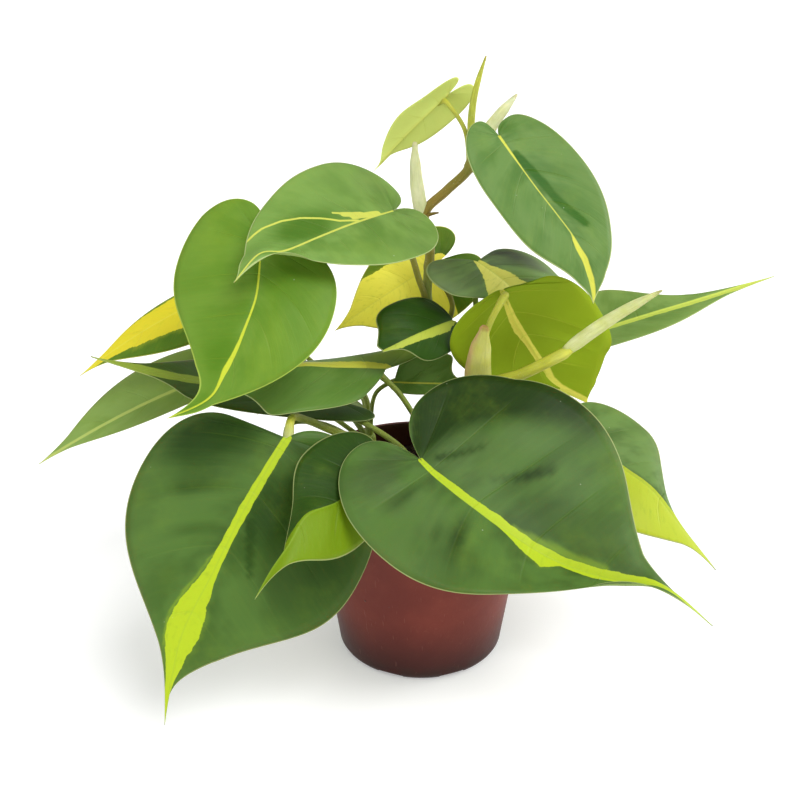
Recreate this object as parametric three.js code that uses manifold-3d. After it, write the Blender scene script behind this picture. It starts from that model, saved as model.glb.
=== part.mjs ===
// Potted philodendron: a trailing plant with heart-shaped variegated leaves in a small plastic pot.
// Millimetres, +Z up. The origin is the centre of the flat underside of the pot.
import * as THREE from "three";
import Module from "manifold-3d";
import { mergeVertices } from "three/addons/utils/BufferGeometryUtils.js";

const wasm = await Module();
wasm.setup();

// Driving sizes
const pot = { height: 79, rimRadius: 45, baseRadius: 34, lip: 1, lipHeight: 5, wall: 1.6, floor: 2, edge: 4 };
const drain = { count: 6, radius: 3.5, ring: 20 };
const foot = { count: 8, width: 11, height: 2.2, depth: 3 };
const soil = { level: 69, lowest: 2.3, bumps: 1.1 };
const gap = 0.3;                 // left between pieces that touch
const bladeThickness = 0.8;
const stemRadius = 2;
const petioleRadius = 1.2;
const bendKnots = {
  middle: [0, 0.3, 0.5, 0.7, 0.85, 1],      // shares of the midrib
  edge: [0, 0.16, 0.42, 0.6, 0.8, 0.9, 1],  // shares of the outline from notch to tip
  spread: 1.4,                              // how much of a half follows its edge, not its midrib
};
const rootEnd = 45;              // height of the lower end of every stem, inside the soil
const up = new THREE.Vector3(0, 0, 1);

// Each blade: the notch where its petiole joins, its tip, the way its upper face looks (turn, rise),
// then pairs for the right and left half, seen from above with the tip ahead: half width, and as
// shares of the length how far along it is widest, how far the lobe reaches back, how full it stays
// and where the drawn-out tip begins. fold lifts a half about the midrib, cup bends its edge,
// lift and sway bow the midrib up and to the right. bend says how far along x and z the grown blade
// strays from that plain one, at bendKnots: its midrib, its right and left edge, and its tip.
const leaves = {
  leaf_front_right: { base: [-1, -46, 104], tip: [97, -82, 59], face: [10, 56], half: [38, 52],
    wide: [0.15, 0.25], lobe: [0.18, 0.15], full: [0.85, 1.2], tail: [0.64, 0.74], fold: [9, 12],
    bend: {
      middle: [[0, -3], [0, -5], [0, -1], [0, 5]],
      right: [[2, -1.5], [0, -1.5], [0, 3], [0, 1], [0, 6]],
      left: [[-1.5, 1], [2, 3], [1, 0], [0, 0], [0, 0]],
      tip: [1, 0],
    },
    cup: [-4, -4], lift: [4, 6], sway: [13, 2], look: "dark", rows: 14, columns: 3 },
  leaf_front_left: { base: [-49, -40, 110], tip: [-90, -86, 22], face: [-8, 32], half: [41, 49],
    wide: [0.28, 0.3], lobe: [-0.03, 0.1], full: [0.8, 1], tail: [0.75, 0.77], fold: [4, -20],
    bend: {
      middle: [[1, 0], [1, 0], [-1.5, 0], [-1, 0]],
      right: [[0, 0], [0, 0], [-0.5, 0], [-0.5, 0], [0, 0]],
      left: [[0, 0], [0, 0], [0, -1.5], [0, -2], [-4, 0]],
      tip: [-1, -1.5],
    },
    cup: [-4, -4], lift: [6, 8], sway: [6, 8], look: "dark", rows: 14, columns: 3 },
  leaf_front_middle: { base: [-18, -45, 101], tip: [-55, -92, 76], face: [-15, 50], half: [16, 14],
    wide: [0.2, 0.3], lobe: [0.14, 0.1], full: [1, 1], tail: [0.74, 0.8], fold: [20, -25],
    bend: {
      middle: [[0, 0], [-3, 4], [-1.5, 3], [-1.5, 2]],
      right: [[-2, 2], [-4.5, 4.5], [1, 0], [1, 0], [0, 0]],
      left: [[0, 0], [0, 0], [0, 1], [0, 3.5], [0, 3]],
      tip: [-1, 0],
    },
    cup: [-3, -4], lift: [3, 5], look: "dark", rows: 12, columns: 2 },
  leaf_low_right: { base: [59, -8, 100], tip: [109, -40, 57], face: [30, 50], half: [26, 18],
    wide: [0.2, 0.25], lobe: [0.2, 0.08], full: [1, 0.7], tail: [0.8, 0.62], fold: [5, 5],
    bend: {
      middle: [[0, 0], [1, 1.5], [-1, 2], [0, 0]],
      right: [[0, 0], [0, 0], [0, 0], [0, 0], [-1, 1]],
      left: [[1, 1], [4.5, 3], [2, 0], [0, 0], [-2, 0]],
      tip: [1, -1.5],
    },
    cup: [-4, -4], lift: [3, 5], look: "dark", rows: 12, columns: 2 },
  leaf_upper_left: { base: [-57, -14, 177], tip: [-89, -50, 122], face: [-10, 25], half: [27, 31],
    wide: [0.18, 0.32], lobe: [0.13, 0.02], full: [0.8, 1], tail: [0.74, 0.8], fold: [4, 4],
    bend: {
      middle: [[3.5, 0], [3.5, 0], [4.5, 0], [6, -0.5]],
      right: [[0, 1], [0, 0], [0, 0], [1, 0], [4, 0]],
      left: [[1, 0], [2, 0], [0, 1], [0, -1], [2, -1]],
      tip: [0, 0],
    },
    cup: [-4, -4], lift: [4, 6], sway: [-2, -16], look: "bright", rows: 14, columns: 3 },
  leaf_top_left: { base: [-11, 2, 182], tip: [-64, -44, 168], face: [0, 64], half: [30, 26],
    wide: [0.16, 0.12], lobe: [0.16, 0.1], full: [1.5, 1], tail: [0.88, 0.62], fold: [12, 2],
    bend: {
      middle: [[0, 0], [0, 0], [0, 1], [0, 5]],
      right: [[-1, -1], [0, 0], [3, -1], [1, 1], [0, 2]],
      left: [[0, 2], [0, 0], [0, -1], [0, -2], [0, 4]],
      tip: [0, 1],
    },
    cup: [0, -2], lift: [4, 6], look: "mid", rows: 14, columns: 3 },
  leaf_centre_left: { base: [-14, 0, 121], tip: [-79, -25, 124], face: [0, 75], half: [14, 24],
    wide: [0.1, 0.5], lobe: [0.3, -0.03], full: [1, 1.2], tail: [0.8, 0.85], fold: [4, -8],
    bend: {
      middle: [[0, 1.5], [0, 3], [0, 1], [0, 0]],
      right: [[-1, 6], [0, -1.5], [0, -2], [0, 0], [0, 0]],
      left: [[-8, 1], [-2, 6.5], [0, 3], [0, 0], [0, 0]],
      tip: [0, 0],
    },
    cup: [-2, -4], lift: [2, 2], look: "mid", rows: 12, columns: 2 },
  leaf_wide_left: { base: [-33, 14, 101], tip: [-127, 0, 126], face: [0, 85], half: [28, 17],
    wide: [0.2, 0.4], lobe: [0.04, 0.14], full: [1, 1], tail: [0.8, 0.75], fold: [2, 2], cup: [-2, -2],
    lift: [2, 0], sway: [-4, -10], look: "dark", rows: 14, columns: 3 },
  leaf_far_left: { base: [-88, 28, 106], tip: [-157, 12, 74], face: [-10, 60], half: [21, 8],
    wide: [0.2, 0.2], lobe: [0.19, 0.19], full: [1, 1], tail: [0.8, 0.8], fold: [0, 0], cup: [-2, -2],
    lift: [5, 4], look: "mid", rows: 12, columns: 2 },
  leaf_back_left: { base: [-76, 40, 142], tip: [-138, 20, 110], face: [-10, 50], half: [9.5, 17],
    wide: [0.2, 0.2], lobe: [0.19, 0.19], full: [1, 1], tail: [0.8, 0.8], fold: [2, 2], cup: [-2, -2],
    lift: [6, 6], look: "yellow", rows: 12, columns: 2 },
  leaf_crown_young: { base: [9, 20, 221], tip: [-19, 33, 190], face: [170, 30], half: [7.5, 5],
    wide: [0.1, 0.1], lobe: [0.2, 0.18], full: [1, 1], tail: [0.8, 0.8], fold: [5, 20], cup: [-2, -2],
    bend: {
      middle: [[0, 0], [0, 0], [0, 0], [0, 0]],
      right: [[1, 0], [1, 0], [0, -1], [0, 1], [0, 0]],
      left: [[0, 0], [0, 1], [-2.5, 2.5], [-1.5, 1.5], [0, 0]],
      tip: [0, 0],
    },
    lift: [2, 3], look: "young", rows: 10, columns: 2 },
  leaf_crown_right: { base: [27, 2, 209], tip: [60, -24, 155], face: [30, 28], half: [19, 20],
    wide: [0.22, 0.34], lobe: [0.15, 0.12], full: [1.2, 1.3], tail: [0.85, 0.85], fold: [10, 8],
    bend: {
      middle: [[-3, -2], [-3.5, -1.5], [-2, 0], [-1, 0]],
      right: [[3, 0], [-2.5, -2], [-4, -3.5], [-2.5, -2], [-1, -1]],
      left: [[3, -2.5], [1, 0], [-1, 0], [1.5, 0], [1, 0]],
      tip: [0, 0],
    },
    cup: [-2, -2], lift: [4, 5], sway: [-3, -12], look: "mid", rows: 14, columns: 3 },
  leaf_back_centre: { base: [8, 42, 152], tip: [-35, 26, 127], face: [-10, 25], half: [17, 23],
    wide: [0.2, 0.2], lobe: [0.22, 0.28], full: [1, 1], tail: [0.8, 0.8], fold: [3, 3], cup: [-2, -2],
    lift: [3, 4], look: "yellow", rows: 12, columns: 2 },
  leaf_small_centre: { base: [12, 10, 137], tip: [-15, -12, 132], face: [0, 36], half: [17, 11],
    wide: [0.65, 0.4], lobe: [0, 0.06], full: [1.4, 1], tail: [0.92, 0.8], fold: [10, -8],
    bend: {
      middle: [[0, 0], [0, 0], [0, 0], [0, 0]],
      right: [[-1.5, -1], [0, -2], [1.5, -3.5], [-2.5, -1.5], [-1.5, -0.5]],
      left: [[0, 0], [0, 0], [0, 0], [0, 0], [0, 0]],
      tip: [0, 0],
    },
    cup: [-2, -2], lift: [3, 4], look: "dark", rows: 10, columns: 2 },
  leaf_centre_right: { base: [21, 12, 160], tip: [46, 16, 133], face: [10, 60], half: [16, 19],
    wide: [0.02, 0.75], lobe: [0.3, -0.05], full: [0.5, 1.2], tail: [0.6, 0.9], fold: [4, 4],
    bend: {
      middle: [[0, 0], [0, 0], [0, 0], [0, 0]],
      right: [[-7, -3], [-5, -1], [-2, 0], [0, 0], [0, 0]],
      left: [[0, -1.5], [6, 1], [8, 4], [2, 0], [0, 0]],
      tip: [0, 0],
    },
    cup: [-2, -2], lift: [4, 5], look: "dark", rows: 12, columns: 2 },
  leaf_bright_right: { base: [29.5, -1, 153], tip: [66, 8, 103], face: [175, -8], half: [25, 28],
    wide: [0.5, 0.25], lobe: [-0.15, 0.05], full: [1.9, 1], tail: [0.86, 0.8], fold: [3, 0],
    bend: {
      middle: [[-4.5, 0], [-5.5, 0], [-5.5, 0], [-5, 0]],
      right: [[0, 4], [0, 0], [-5, 0], [3.5, 0], [2, 0]],
      left: [[1.5, -1], [-3, 0], [0, 0], [0, 0], [0, 0]],
      tip: [0, 0],
    },
    cup: [-2, -2], lift: [3, 4], look: "bright", rows: 12, columns: 3 },
  leaf_far_right: { base: [61, 26, 123], tip: [143, 36, 147], face: [5, 66], half: [13, 19],
    wide: [0.25, 0.2], lobe: [0.15, 0.15], full: [0.8, 0.3], tail: [0.75, 0.58], fold: [20, 14],
    cup: [-2, -2], lift: [4, 2], sway: [2, 3], look: "mid", rows: 12, columns: 2 },
  leaf_inner_centre: { base: [-11, 12, 110.5], tip: [20, 11, 110.5], face: [0, 10], half: [5, 12],
    wide: [0.3, 0.6], lobe: [0.05, -0.05], full: [1, 1], tail: [0.8, 0.8], fold: [2, 2], cup: [-1, -1],
    lift: [2, 2], look: "mid", rows: 10, columns: 2 },
  leaf_rear_left: { base: [-42, 46, 92], tip: [-76, 86, 58], face: [150, 55], half: [26, 26],
    wide: [0.2, 0.2], lobe: [0.1, 0.1], full: [1, 1], tail: [0.8, 0.8], fold: [5, 5], cup: [-3, -3],
    lift: [4, 6], look: "dark", rows: 12, columns: 2 },
  leaf_rear_middle: { base: [28, 52, 88], tip: [36, 104, 54], face: [175, 55], half: [26, 26],
    wide: [0.2, 0.2], lobe: [0.18, 0.18], full: [1, 1], tail: [0.8, 0.8], fold: [5, 5], cup: [-3, -3],
    lift: [4, 6], look: "mid", rows: 12, columns: 2 },
  leaf_low_left: { base: [-56, -8, 90], tip: [-80, -30, 48], face: [-60, 30], half: [20, 20],
    wide: [0.2, 0.2], lobe: [0.08, 0.08], full: [1, 1], tail: [0.8, 0.8], fold: [4, 4], cup: [-3, -3],
    lift: [4, 6], look: "dark", rows: 12, columns: 2 },
};

// Each vine: its stem from the soil up, then the petioles from the stem to the notch of each blade,
// given by the points between them, and the pointed shoots, given by both ends and their widths.
const vines = {
  vine_tall: {
    stem: [[4, 13, rootEnd], [4, 13, 70], [5, 16, 100], [2, 17, 143], [3, 17, 166], [1, 16, 178],
      [9, 14, 187], [17, 11, 196], [19, 10, 205]],
    petioles: {
      leaf_centre_left: [[4, 13, 84], [-2, 6, 97], [-9, 2, 110]],
      leaf_top_left: [[2, 17, 143], [-1, 13, 152], [-5, 7, 166]],
      leaf_small_centre: [[3, 17, 157], [8, 17, 150], [12, 16, 141]],
      leaf_back_centre: [[4, 16, 116], [8, 34, 120], [12, 50, 138]],
      leaf_crown_young: [[17, 11, 197], [15, 12, 210]],
      leaf_crown_right: [[17, 11, 197], [22, 13, 204]],
      leaf_rear_middle: [[4, 13, 80], [14, 34, 92]],
    },
    shoots: [
      { from: [18, 10, 202], to: [22, 10, 236], width: 3.4, depth: 3, point: 1 },
      { from: [18, 12, 200], to: [34, 15, 222], width: 5, depth: 2.4, point: 1 },
      { from: [0, 16, 176], to: [-3, 14, 205], width: 5.6, depth: 3, point: 2.4 },
      { from: [1, 15, 177], to: [6, 12, 179], width: 1.4, depth: 1.4, point: 0.8 },
    ],
  },
  vine_right: {
    stem: [[22, 6, rootEnd], [22, 6, 70], [23, 3, 92], [25, -2, 114], [38, -8, 122], [55, -14, 134]],
    petioles: {
      leaf_bright_right: [[24, -1, 108], [22, -7, 128], [25, -7, 142]],
      leaf_centre_right: [[23, 3, 98], [22, 14, 122], [21, 17, 144]],
      leaf_far_right: [[22, 5, 92], [38, 18, 106], [54, 27, 114]],
    },
    shoots: [
      { from: [53, -13, 133], to: [84, -24, 160], width: 5.4, depth: 3, point: 1 },
      { from: [23, -3, 108], to: [22.5, -16, 144], width: 10.5, depth: 4.4, point: 4 },
    ],
  },
  vine_front: {
    stem: [[12, -12, rootEnd], [12, -12, 70], [13, -14, 84]],
    petioles: {
      leaf_front_right: [[12, -13, 76], [10, -28, 92], [3, -42, 97]],
      leaf_low_right: [[12, -13, 74], [34, -10, 88], [52, -6, 92]],
    },
    shoots: [],
  },
  vine_left: {
    stem: [[-2, -4, rootEnd], [-2, -4, 70], [-3, -4, 82]],
    petioles: {
      leaf_front_left: [[-2, -4, 76], [-20, -2, 90], [-34, -8, 98], [-43, -18, 107], [-48, -30, 113]],
      leaf_front_middle: [[-2, -5, 74], [-10, -26, 90]],
      leaf_wide_left: [[-3, -4, 79], [-7, 2, 85], [-23, 7, 95]],
    },
    shoots: [],
  },
  vine_back: {
    stem: [[-20, 22, rootEnd], [-20, 22, 70], [-21, 22, 84]],
    petioles: {
      leaf_inner_centre: [[-21, 22, 80], [-18, 17, 104]],
      leaf_upper_left: [[-21, 22, 82], [-24, 26, 100], [-44, 24, 110], [-56, 12, 140], [-59, -2, 165]],
      leaf_far_left: [[-20, 22, 78], [-46, 32, 92], [-76, 34, 100]],
      leaf_back_left: [[-21, 22, 80], [-26, 38, 96], [-46, 46, 106], [-61, 46, 124], [-72, 43, 138]],
      leaf_rear_left: [[-20, 22, 78], [-32, 36, 88]],
      leaf_low_left: [[-20, 22, 76], [-40, 8, 94], [-52, -2, 98]],
    },
    shoots: [],
  },
};

const looks = {
  plastic: { color: 0x8c4740, roughness: 0.45 },
  soil: { color: 0x2a1e18, roughness: 1 },
  stem: { color: 0x8ba046, roughness: 0.6 },
  dark: { color: 0x3c5c32, roughness: 0.45 },
  mid: { color: 0x5a8440, roughness: 0.45 },
  bright: { color: 0x7fa22c, roughness: 0.5 },
  yellow: { color: 0xc4c043, roughness: 0.5 },
  young: { color: 0xb2c752, roughness: 0.5 },
};

const radians = THREE.MathUtils.degToRad;
const vector = (point) => new THREE.Vector3(...point);

const plant = new THREE.Group();

function piece(name, geometry, look) {
  const mesh = new THREE.Mesh(geometry, new THREE.MeshStandardMaterial({ metalness: 0, ...looks[look] }));
  mesh.name = name;
  plant.add(mesh);
}

// A closed geometry as a solid that can be joined and cut
function solid(geometry) {
  const bare = geometry.clone();
  bare.deleteAttribute("normal");
  bare.deleteAttribute("uv");
  const merged = mergeVertices(bare, 1e-4);
  return new wasm.Manifold(new wasm.Mesh({
    numProp: 3,
    vertProperties: new Float32Array(merged.attributes.position.array),
    triVerts: new Uint32Array(merged.index.array),
  }));
}

function geometryOf(body) {
  const mesh = body.getMesh();
  const geometry = new THREE.BufferGeometry();
  geometry.setAttribute("position", new THREE.BufferAttribute(mesh.vertProperties, mesh.numProp));
  geometry.setIndex(new THREE.BufferAttribute(mesh.triVerts, 1));
  return geometry;
}

// A profile of [radius, height] pairs turned about the upright axis
function turned(profile, segments) {
  const points = profile.map(([radius, height]) => new THREE.Vector2(radius, height));
  return new THREE.LatheGeometry(points, segments).rotateX(Math.PI / 2);
}

// A round tube along a smooth curve through the points
function tube(points, radius, sides = 8, steps = 3 * (points.length - 1)) {
  const corners = Array.from({ length: sides }, (_, k) => {
    const angle = (k / sides) * 2 * Math.PI;
    return new THREE.Vector2(radius * Math.cos(angle), radius * Math.sin(angle));
  });
  const extrudePath = new THREE.CatmullRomCurve3(points);
  return new THREE.ExtrudeGeometry(new THREE.Shape(corners), { steps, extrudePath });
}

// ---- Pot: a tapered cup with a rounded foot, a lip, drain holes and notches under its edge

// Inner radius of the wall at a height
function innerRadius(height) {
  const outer = THREE.MathUtils.lerp(pot.baseRadius, pot.rimRadius - pot.lip, height / pot.height);
  return outer - pot.wall;
}

function potGeometry() {
  const { height, rimRadius, baseRadius, lip, lipHeight, floor, edge } = pot;
  const under = height - lipHeight;
  const profile = [[0, 0], [baseRadius - edge, 0]];
  for (const angle of [30, 60, 90]) {
    const turn = radians(angle);
    profile.push([baseRadius - edge + edge * Math.sin(turn), edge - edge * Math.cos(turn)]);
  }
  profile.push([rimRadius - lip, under - lip], [rimRadius, under], [rimRadius, height - 0.5],
    [rimRadius - 0.6, height], [innerRadius(height), height], [innerRadius(edge + 1), edge + 1],
    [baseRadius - edge - 2, floor], [0, floor]);
  let body = solid(turned(profile, 48));
  for (let k = 0; k < drain.count; k += 1) {
    const angle = (k / drain.count) * 2 * Math.PI;
    const hole = new THREE.CylinderGeometry(drain.radius, drain.radius, 4 * floor, 16).rotateX(Math.PI / 2);
    hole.translate(drain.ring * Math.cos(angle), drain.ring * Math.sin(angle), 0);
    body = body.subtract(solid(hole));
  }
  for (let k = 0; k < foot.count; k += 1) {
    const notch = new THREE.BoxGeometry(2 * foot.depth, foot.width, 2 * foot.height);
    notch.translate(baseRadius, 0, 0).rotateZ(((k + 0.5) / foot.count) * 2 * Math.PI);
    body = body.subtract(solid(notch));
  }
  return geometryOf(body);
}

// ---- Soil: fills the pot, with an uneven top and a hole for each stem

function soilGeometry() {
  const low = pot.edge + 1 + gap;
  const top = innerRadius(soil.level) - gap;
  const profile = [[0, soil.lowest], [pot.baseRadius - pot.edge - 2 - gap, soil.lowest],
    [innerRadius(low) - gap, low], [top, soil.level]];
  for (const share of [0.85, 0.7, 0.55, 0.4, 0.2, 0]) profile.push([top * share, soil.level]);
  const geometry = turned(profile, 32);
  const place = geometry.attributes.position;
  for (let k = 0; k < place.count; k += 1) {
    const [x, y, z] = [place.getX(k), place.getY(k), place.getZ(k)];
    const inward = 1 - Math.hypot(x, y) / top;
    const bump = Math.sin(0.35 * x + 1) * Math.cos(0.3 * y) + 0.5 * Math.sin(0.9 * x) * Math.sin(0.8 * y + 2);
    if (z > soil.level - 0.01) place.setZ(k, z + soil.bumps * bump * Math.min(1, 4 * inward));
  }
  let body = solid(geometry);
  for (const { stem } of Object.values(vines)) {
    const hole = stem.map(vector);
    hole[0].z -= gap;
    body = body.subtract(solid(tube(hole, stemRadius + gap, 8)));
  }
  return geometryOf(body);
}

// ---- Leaves

// The outline of one half blade: x in half widths, y in blade lengths, from the notch to the tip
function halfOutline(leaf, side) {
  const [wide, lobe, full, tail] = ["wide", "lobe", "full", "tail"].map((key) => leaf[key][side]);
  const point = (x, y) => new THREE.Vector2(x, y);
  const stretches = [
    [0.16, point(0, 0), point(0.05, -0.55 * lobe), point(0.16, -lobe), point(0.4, -lobe)],
    [0.26, point(0.4, -lobe), point(0.74, -lobe), point(1, wide - 0.62 * (wide + lobe)), point(1, wide)],
    [0.4, point(1, wide), point(1, wide + 0.3 * full), point(0.3 + 0.28 * full, tail - 0.16),
      point(0.22, tail)],
    [0.18, point(0.22, tail), point(0.1, tail + 0.07), point(0.03, 0.94), point(0, 1)],
  ];
  return (u) => {
    let start = 0;
    for (const [share, ...corners] of stretches) {
      const curve = new THREE.CubicBezierCurve(...corners);
      if (u <= start + share + 1e-6) return curve.getPoint((u - start) / share);
      start += share;
    }
    return point(0, 1);
  };
}

// A smooth curve through x, z pairs at the knots
function eased(knots, pairs, t) {
  const last = knots.length - 1;
  const slope = (k, axis) => {
    const before = Math.max(k - 1, 0);
    const after = Math.min(k + 1, last);
    return (pairs[after][axis] - pairs[before][axis]) / (knots[after] - knots[before]);
  };
  const next = Math.max(knots.findIndex((knot) => knot > t), 1);
  const k = t >= knots[last] ? last - 1 : next - 1;
  const gap = knots[k + 1] - knots[k];
  const s = (t - knots[k]) / gap;
  return [0, 1].map((axis) => pairs[k][axis] * (1 + 2 * s) * (1 - s) ** 2
    + pairs[k + 1][axis] * s * s * (3 - 2 * s)
    + slope(k, axis) * gap * s * (1 - s) ** 2 - slope(k + 1, axis) * gap * s * s * (1 - s));
}

// How far a grown blade strays along x and z from the plain one; u, v and share as in bladeSurface
function bent(leaf, u, v, share) {
  if (!leaf.bend) return new THREE.Vector3();
  const { middle, right, left, tip } = leaf.bend;
  const inner = eased(bendKnots.middle, [[0, 0], ...middle, tip], share);
  const outer = eased(bendKnots.edge, [[0, 0], ...(v < 0 ? left : right), tip], u);
  const blend = Math.abs(v) ** bendKnots.spread;
  const shift = inner.map((value, axis) => value * (1 - blend) + outer[axis] * blend);
  return new THREE.Vector3(shift[0], 0, shift[1]);
}

// The middle surface of a blade: u runs along the outline from the notch to the tip, v from the
// midrib to the edge, negative on the left
function bladeSurface(leaf) {
  const base = vector(leaf.base);
  const tip = vector(leaf.tip);
  const ahead = tip.clone().sub(base).normalize();
  const [turn, rise] = leaf.face.map(radians);
  const looking = new THREE.Vector3(Math.sin(turn) * Math.cos(rise), -Math.cos(turn) * Math.cos(rise),
    Math.sin(rise));
  const upper = looking.addScaledVector(ahead, -looking.dot(ahead)).normalize();
  const right = new THREE.Vector3().crossVectors(ahead, upper);
  const chord = tip.distanceTo(base);
  const sway = leaf.sway ?? [0, 0];
  const bow = (k) => base.clone().addScaledVector(ahead, ((k + 1) * chord) / 3)
    .addScaledVector(upper, leaf.lift[k]).addScaledVector(right, sway[k]);
  const midrib = new THREE.CubicBezierCurve3(base, bow(0), bow(1), tip);
  const length = midrib.getLength();
  const outlines = [halfOutline(leaf, 0), halfOutline(leaf, 1)];

  return (u, v) => {
    const half = v < 0 ? 1 : 0;
    const edge = outlines[half](u);
    const across = edge.x * Math.abs(v);
    const veinStart = THREE.MathUtils.clamp((u - 0.3) / 0.7, 0, 1) ** 1.25;
    const bend = veinStart > 0 ? 1.35 : 1;
    const along = veinStart + (edge.y - veinStart) * Math.abs(v) ** bend;
    const share = THREE.MathUtils.clamp(along, 0, 1);
    const forward = midrib.getTangentAt(share);
    const normal = upper.clone().addScaledVector(forward, -upper.dot(forward)).normalize();
    const sideways = new THREE.Vector3().crossVectors(forward, normal).multiplyScalar(half ? -1 : 1);
    const fold = radians(leaf.fold[half]);
    const out = across * leaf.half[half];
    return midrib.getPointAt(share)
      .addScaledVector(forward, Math.min(along, 0) * length)
      .addScaledVector(sideways, out * Math.cos(fold))
      .addScaledVector(normal, out * Math.sin(fold) + leaf.cup[half] * across ** 2)
      .add(bent(leaf, u, v, share));
  };
}

// A closed blade, both faces split into triangles alike; grow enlarges it on every side
function bladeGeometry(leaf, grow = 0) {
  const { rows, columns } = leaf;
  const surface = bladeSurface(leaf);
  const places = [];
  const names = new Map();
  const at = (i, j) => {
    const u = i / rows;
    const shared = i === rows ? "tip" : i === 0 || (j === 0 && u <= 0.3) ? "notch" : `${i},${j}`;
    if (!names.has(shared)) {
      names.set(shared, places.length);
      places.push(surface(shared === "notch" ? 0 : u, j / columns));
    }
    return names.get(shared);
  };
  const faces = [];
  const face = (...corners) => new Set(corners).size === 3 && faces.push(corners);
  for (let i = 1; i < rows; i += 1) {
    for (let j = -columns; j < columns; j += 1) {
      face(at(i, j), at(i, j + 1), at(i + 1, j + 1));
      face(at(i, j), at(i + 1, j + 1), at(i + 1, j));
    }
  }
  const normals = places.map(() => new THREE.Vector3());
  for (const [a, b, c] of faces) {
    const ab = places[b].clone().sub(places[a]);
    const cross = ab.cross(places[c].clone().sub(places[a]));
    for (const corner of [a, b, c]) normals[corner].add(cross);
  }
  normals.forEach((normal) => normal.normalize());
  const ring = [at(0, 0)];
  for (let j = 1; j < columns; j += 1) ring.push(at(1, j));
  for (let i = 1; i <= rows; i += 1) ring.push(at(i, columns));
  for (let i = rows - 1; i > 0; i -= 1) ring.push(at(i, -columns));
  for (let j = columns - 1; j > 0; j -= 1) ring.push(at(1, -j));
  if (grow > 0) {
    const spread = ring.map((corner, k) => {
      const before = places[ring.at(k - 1)];
      const after = places[ring[(k + 1) % ring.length]];
      return after.clone().sub(before).cross(normals[corner]).setLength(grow);
    });
    ring.forEach((corner, k) => places[corner].add(spread[k]));
  }
  const half = bladeThickness / 2 + grow;
  const positions = [];
  for (const side of [half, -half]) {
    places.forEach((place, k) => positions.push(...place.clone().addScaledVector(normals[k], side)));
  }
  const under = places.length;
  const index = faces.flatMap(([a, b, c]) => [a, b, c, under + c, under + b, under + a]);
  ring.forEach((a, k) => {
    const b = ring[(k + 1) % ring.length];
    index.push(under + a, under + b, b, under + a, b, a);
  });
  const geometry = new THREE.BufferGeometry();
  geometry.setAttribute("position", new THREE.BufferAttribute(new Float32Array(positions), 3));
  geometry.setIndex(index);
  return geometry;
}

// ---- Vines: each one body of stem, petioles and shoots, cut clear of its own blades

// The last stretch of a petiole ends square to the blade, a gap below it
function petiole(points, leaf) {
  const surface = bladeSurface(leaf);
  const notch = surface(0, 0);
  const along = surface(0.5, 0).sub(notch);
  const across = surface(0.4, 1).sub(surface(0.4, -1));
  const upper = across.cross(along).normalize();
  const join = notch.clone().addScaledVector(along.normalize(), 0.3 * petioleRadius);
  const end = bladeThickness / 2 + gap;
  const path = points.map(vector);
  for (const below of [4, end]) path.push(join.clone().addScaledVector(upper, -below));
  return tube(path, petioleRadius, 6, 2 * path.length);
}

// A pointed shoot, oval in section: a turned spindle laid between its ends
function shoot({ from, to, width, depth, point }) {
  const [start, end] = [vector(from), vector(to)];
  const length = start.distanceTo(end);
  const profile = [[0, 0], [0.5 * width, 0], [0.5 * width, 0.35 * length], [0.4 * width, 0.7 * length],
    [0.5 * point, length - 0.6], [0, length]];
  const geometry = turned(profile, 8).scale(1, depth / width, 1);
  const turn = new THREE.Quaternion().setFromUnitVectors(up, end.clone().sub(start).normalize());
  return geometry.applyQuaternion(turn).translate(...start);
}

function vineGeometry({ stem, petioles, shoots }) {
  let body = solid(tube(stem.map(vector), stemRadius, 8));
  for (const [name, points] of Object.entries(petioles)) {
    body = body.add(solid(petiole(points, leaves[name])));
  }
  for (const spindle of shoots) body = body.add(solid(shoot(spindle)));
  for (const name of Object.keys(petioles)) body = body.subtract(solid(bladeGeometry(leaves[name], gap)));
  const whole = body.decompose();
  whole.sort((one, other) => other.volume() - one.volume());
  return geometryOf(whole[0]); // without the scraps that a cut leaves
}

piece("pot", potGeometry(), "plastic");
piece("soil", soilGeometry(), "soil");
for (const [name, vine] of Object.entries(vines)) piece(name, vineGeometry(vine), "stem");
for (const [name, leaf] of Object.entries(leaves)) piece(name, bladeGeometry(leaf), leaf.look);

export default plant;
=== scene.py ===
import math
import random

import bmesh
import bpy
import numpy as np
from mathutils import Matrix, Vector, noise


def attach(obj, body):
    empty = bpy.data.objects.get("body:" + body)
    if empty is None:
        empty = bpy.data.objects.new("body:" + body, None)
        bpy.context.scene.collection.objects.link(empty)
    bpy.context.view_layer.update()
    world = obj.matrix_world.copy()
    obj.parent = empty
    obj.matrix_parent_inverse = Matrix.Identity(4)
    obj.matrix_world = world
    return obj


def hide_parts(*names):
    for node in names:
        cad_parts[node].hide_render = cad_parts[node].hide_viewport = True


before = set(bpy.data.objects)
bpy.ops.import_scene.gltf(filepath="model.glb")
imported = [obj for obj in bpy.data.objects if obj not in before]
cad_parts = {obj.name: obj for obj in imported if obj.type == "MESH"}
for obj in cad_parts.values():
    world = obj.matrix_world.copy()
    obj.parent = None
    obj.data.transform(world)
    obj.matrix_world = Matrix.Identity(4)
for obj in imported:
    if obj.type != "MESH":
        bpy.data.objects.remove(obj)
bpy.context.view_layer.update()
mm = 0.001
print("frame loaded:", len(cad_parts), "nodes")


# small helpers

def colour(red, green, blue):  # 0 to 255 as seen on a screen, made linear
    levels = [value / 255 for value in (red, green, blue)]
    return (*[v / 12.92 if v <= 0.04045 else ((v + 0.055) / 1.055) ** 2.4 for v in levels], 1)


def unit(vectors):
    return vectors / np.maximum(np.linalg.norm(vectors, axis=-1, keepdims=True), 1e-12)


def dot(one, other):
    return np.sum(one * other, axis=-1, keepdims=True)


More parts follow.
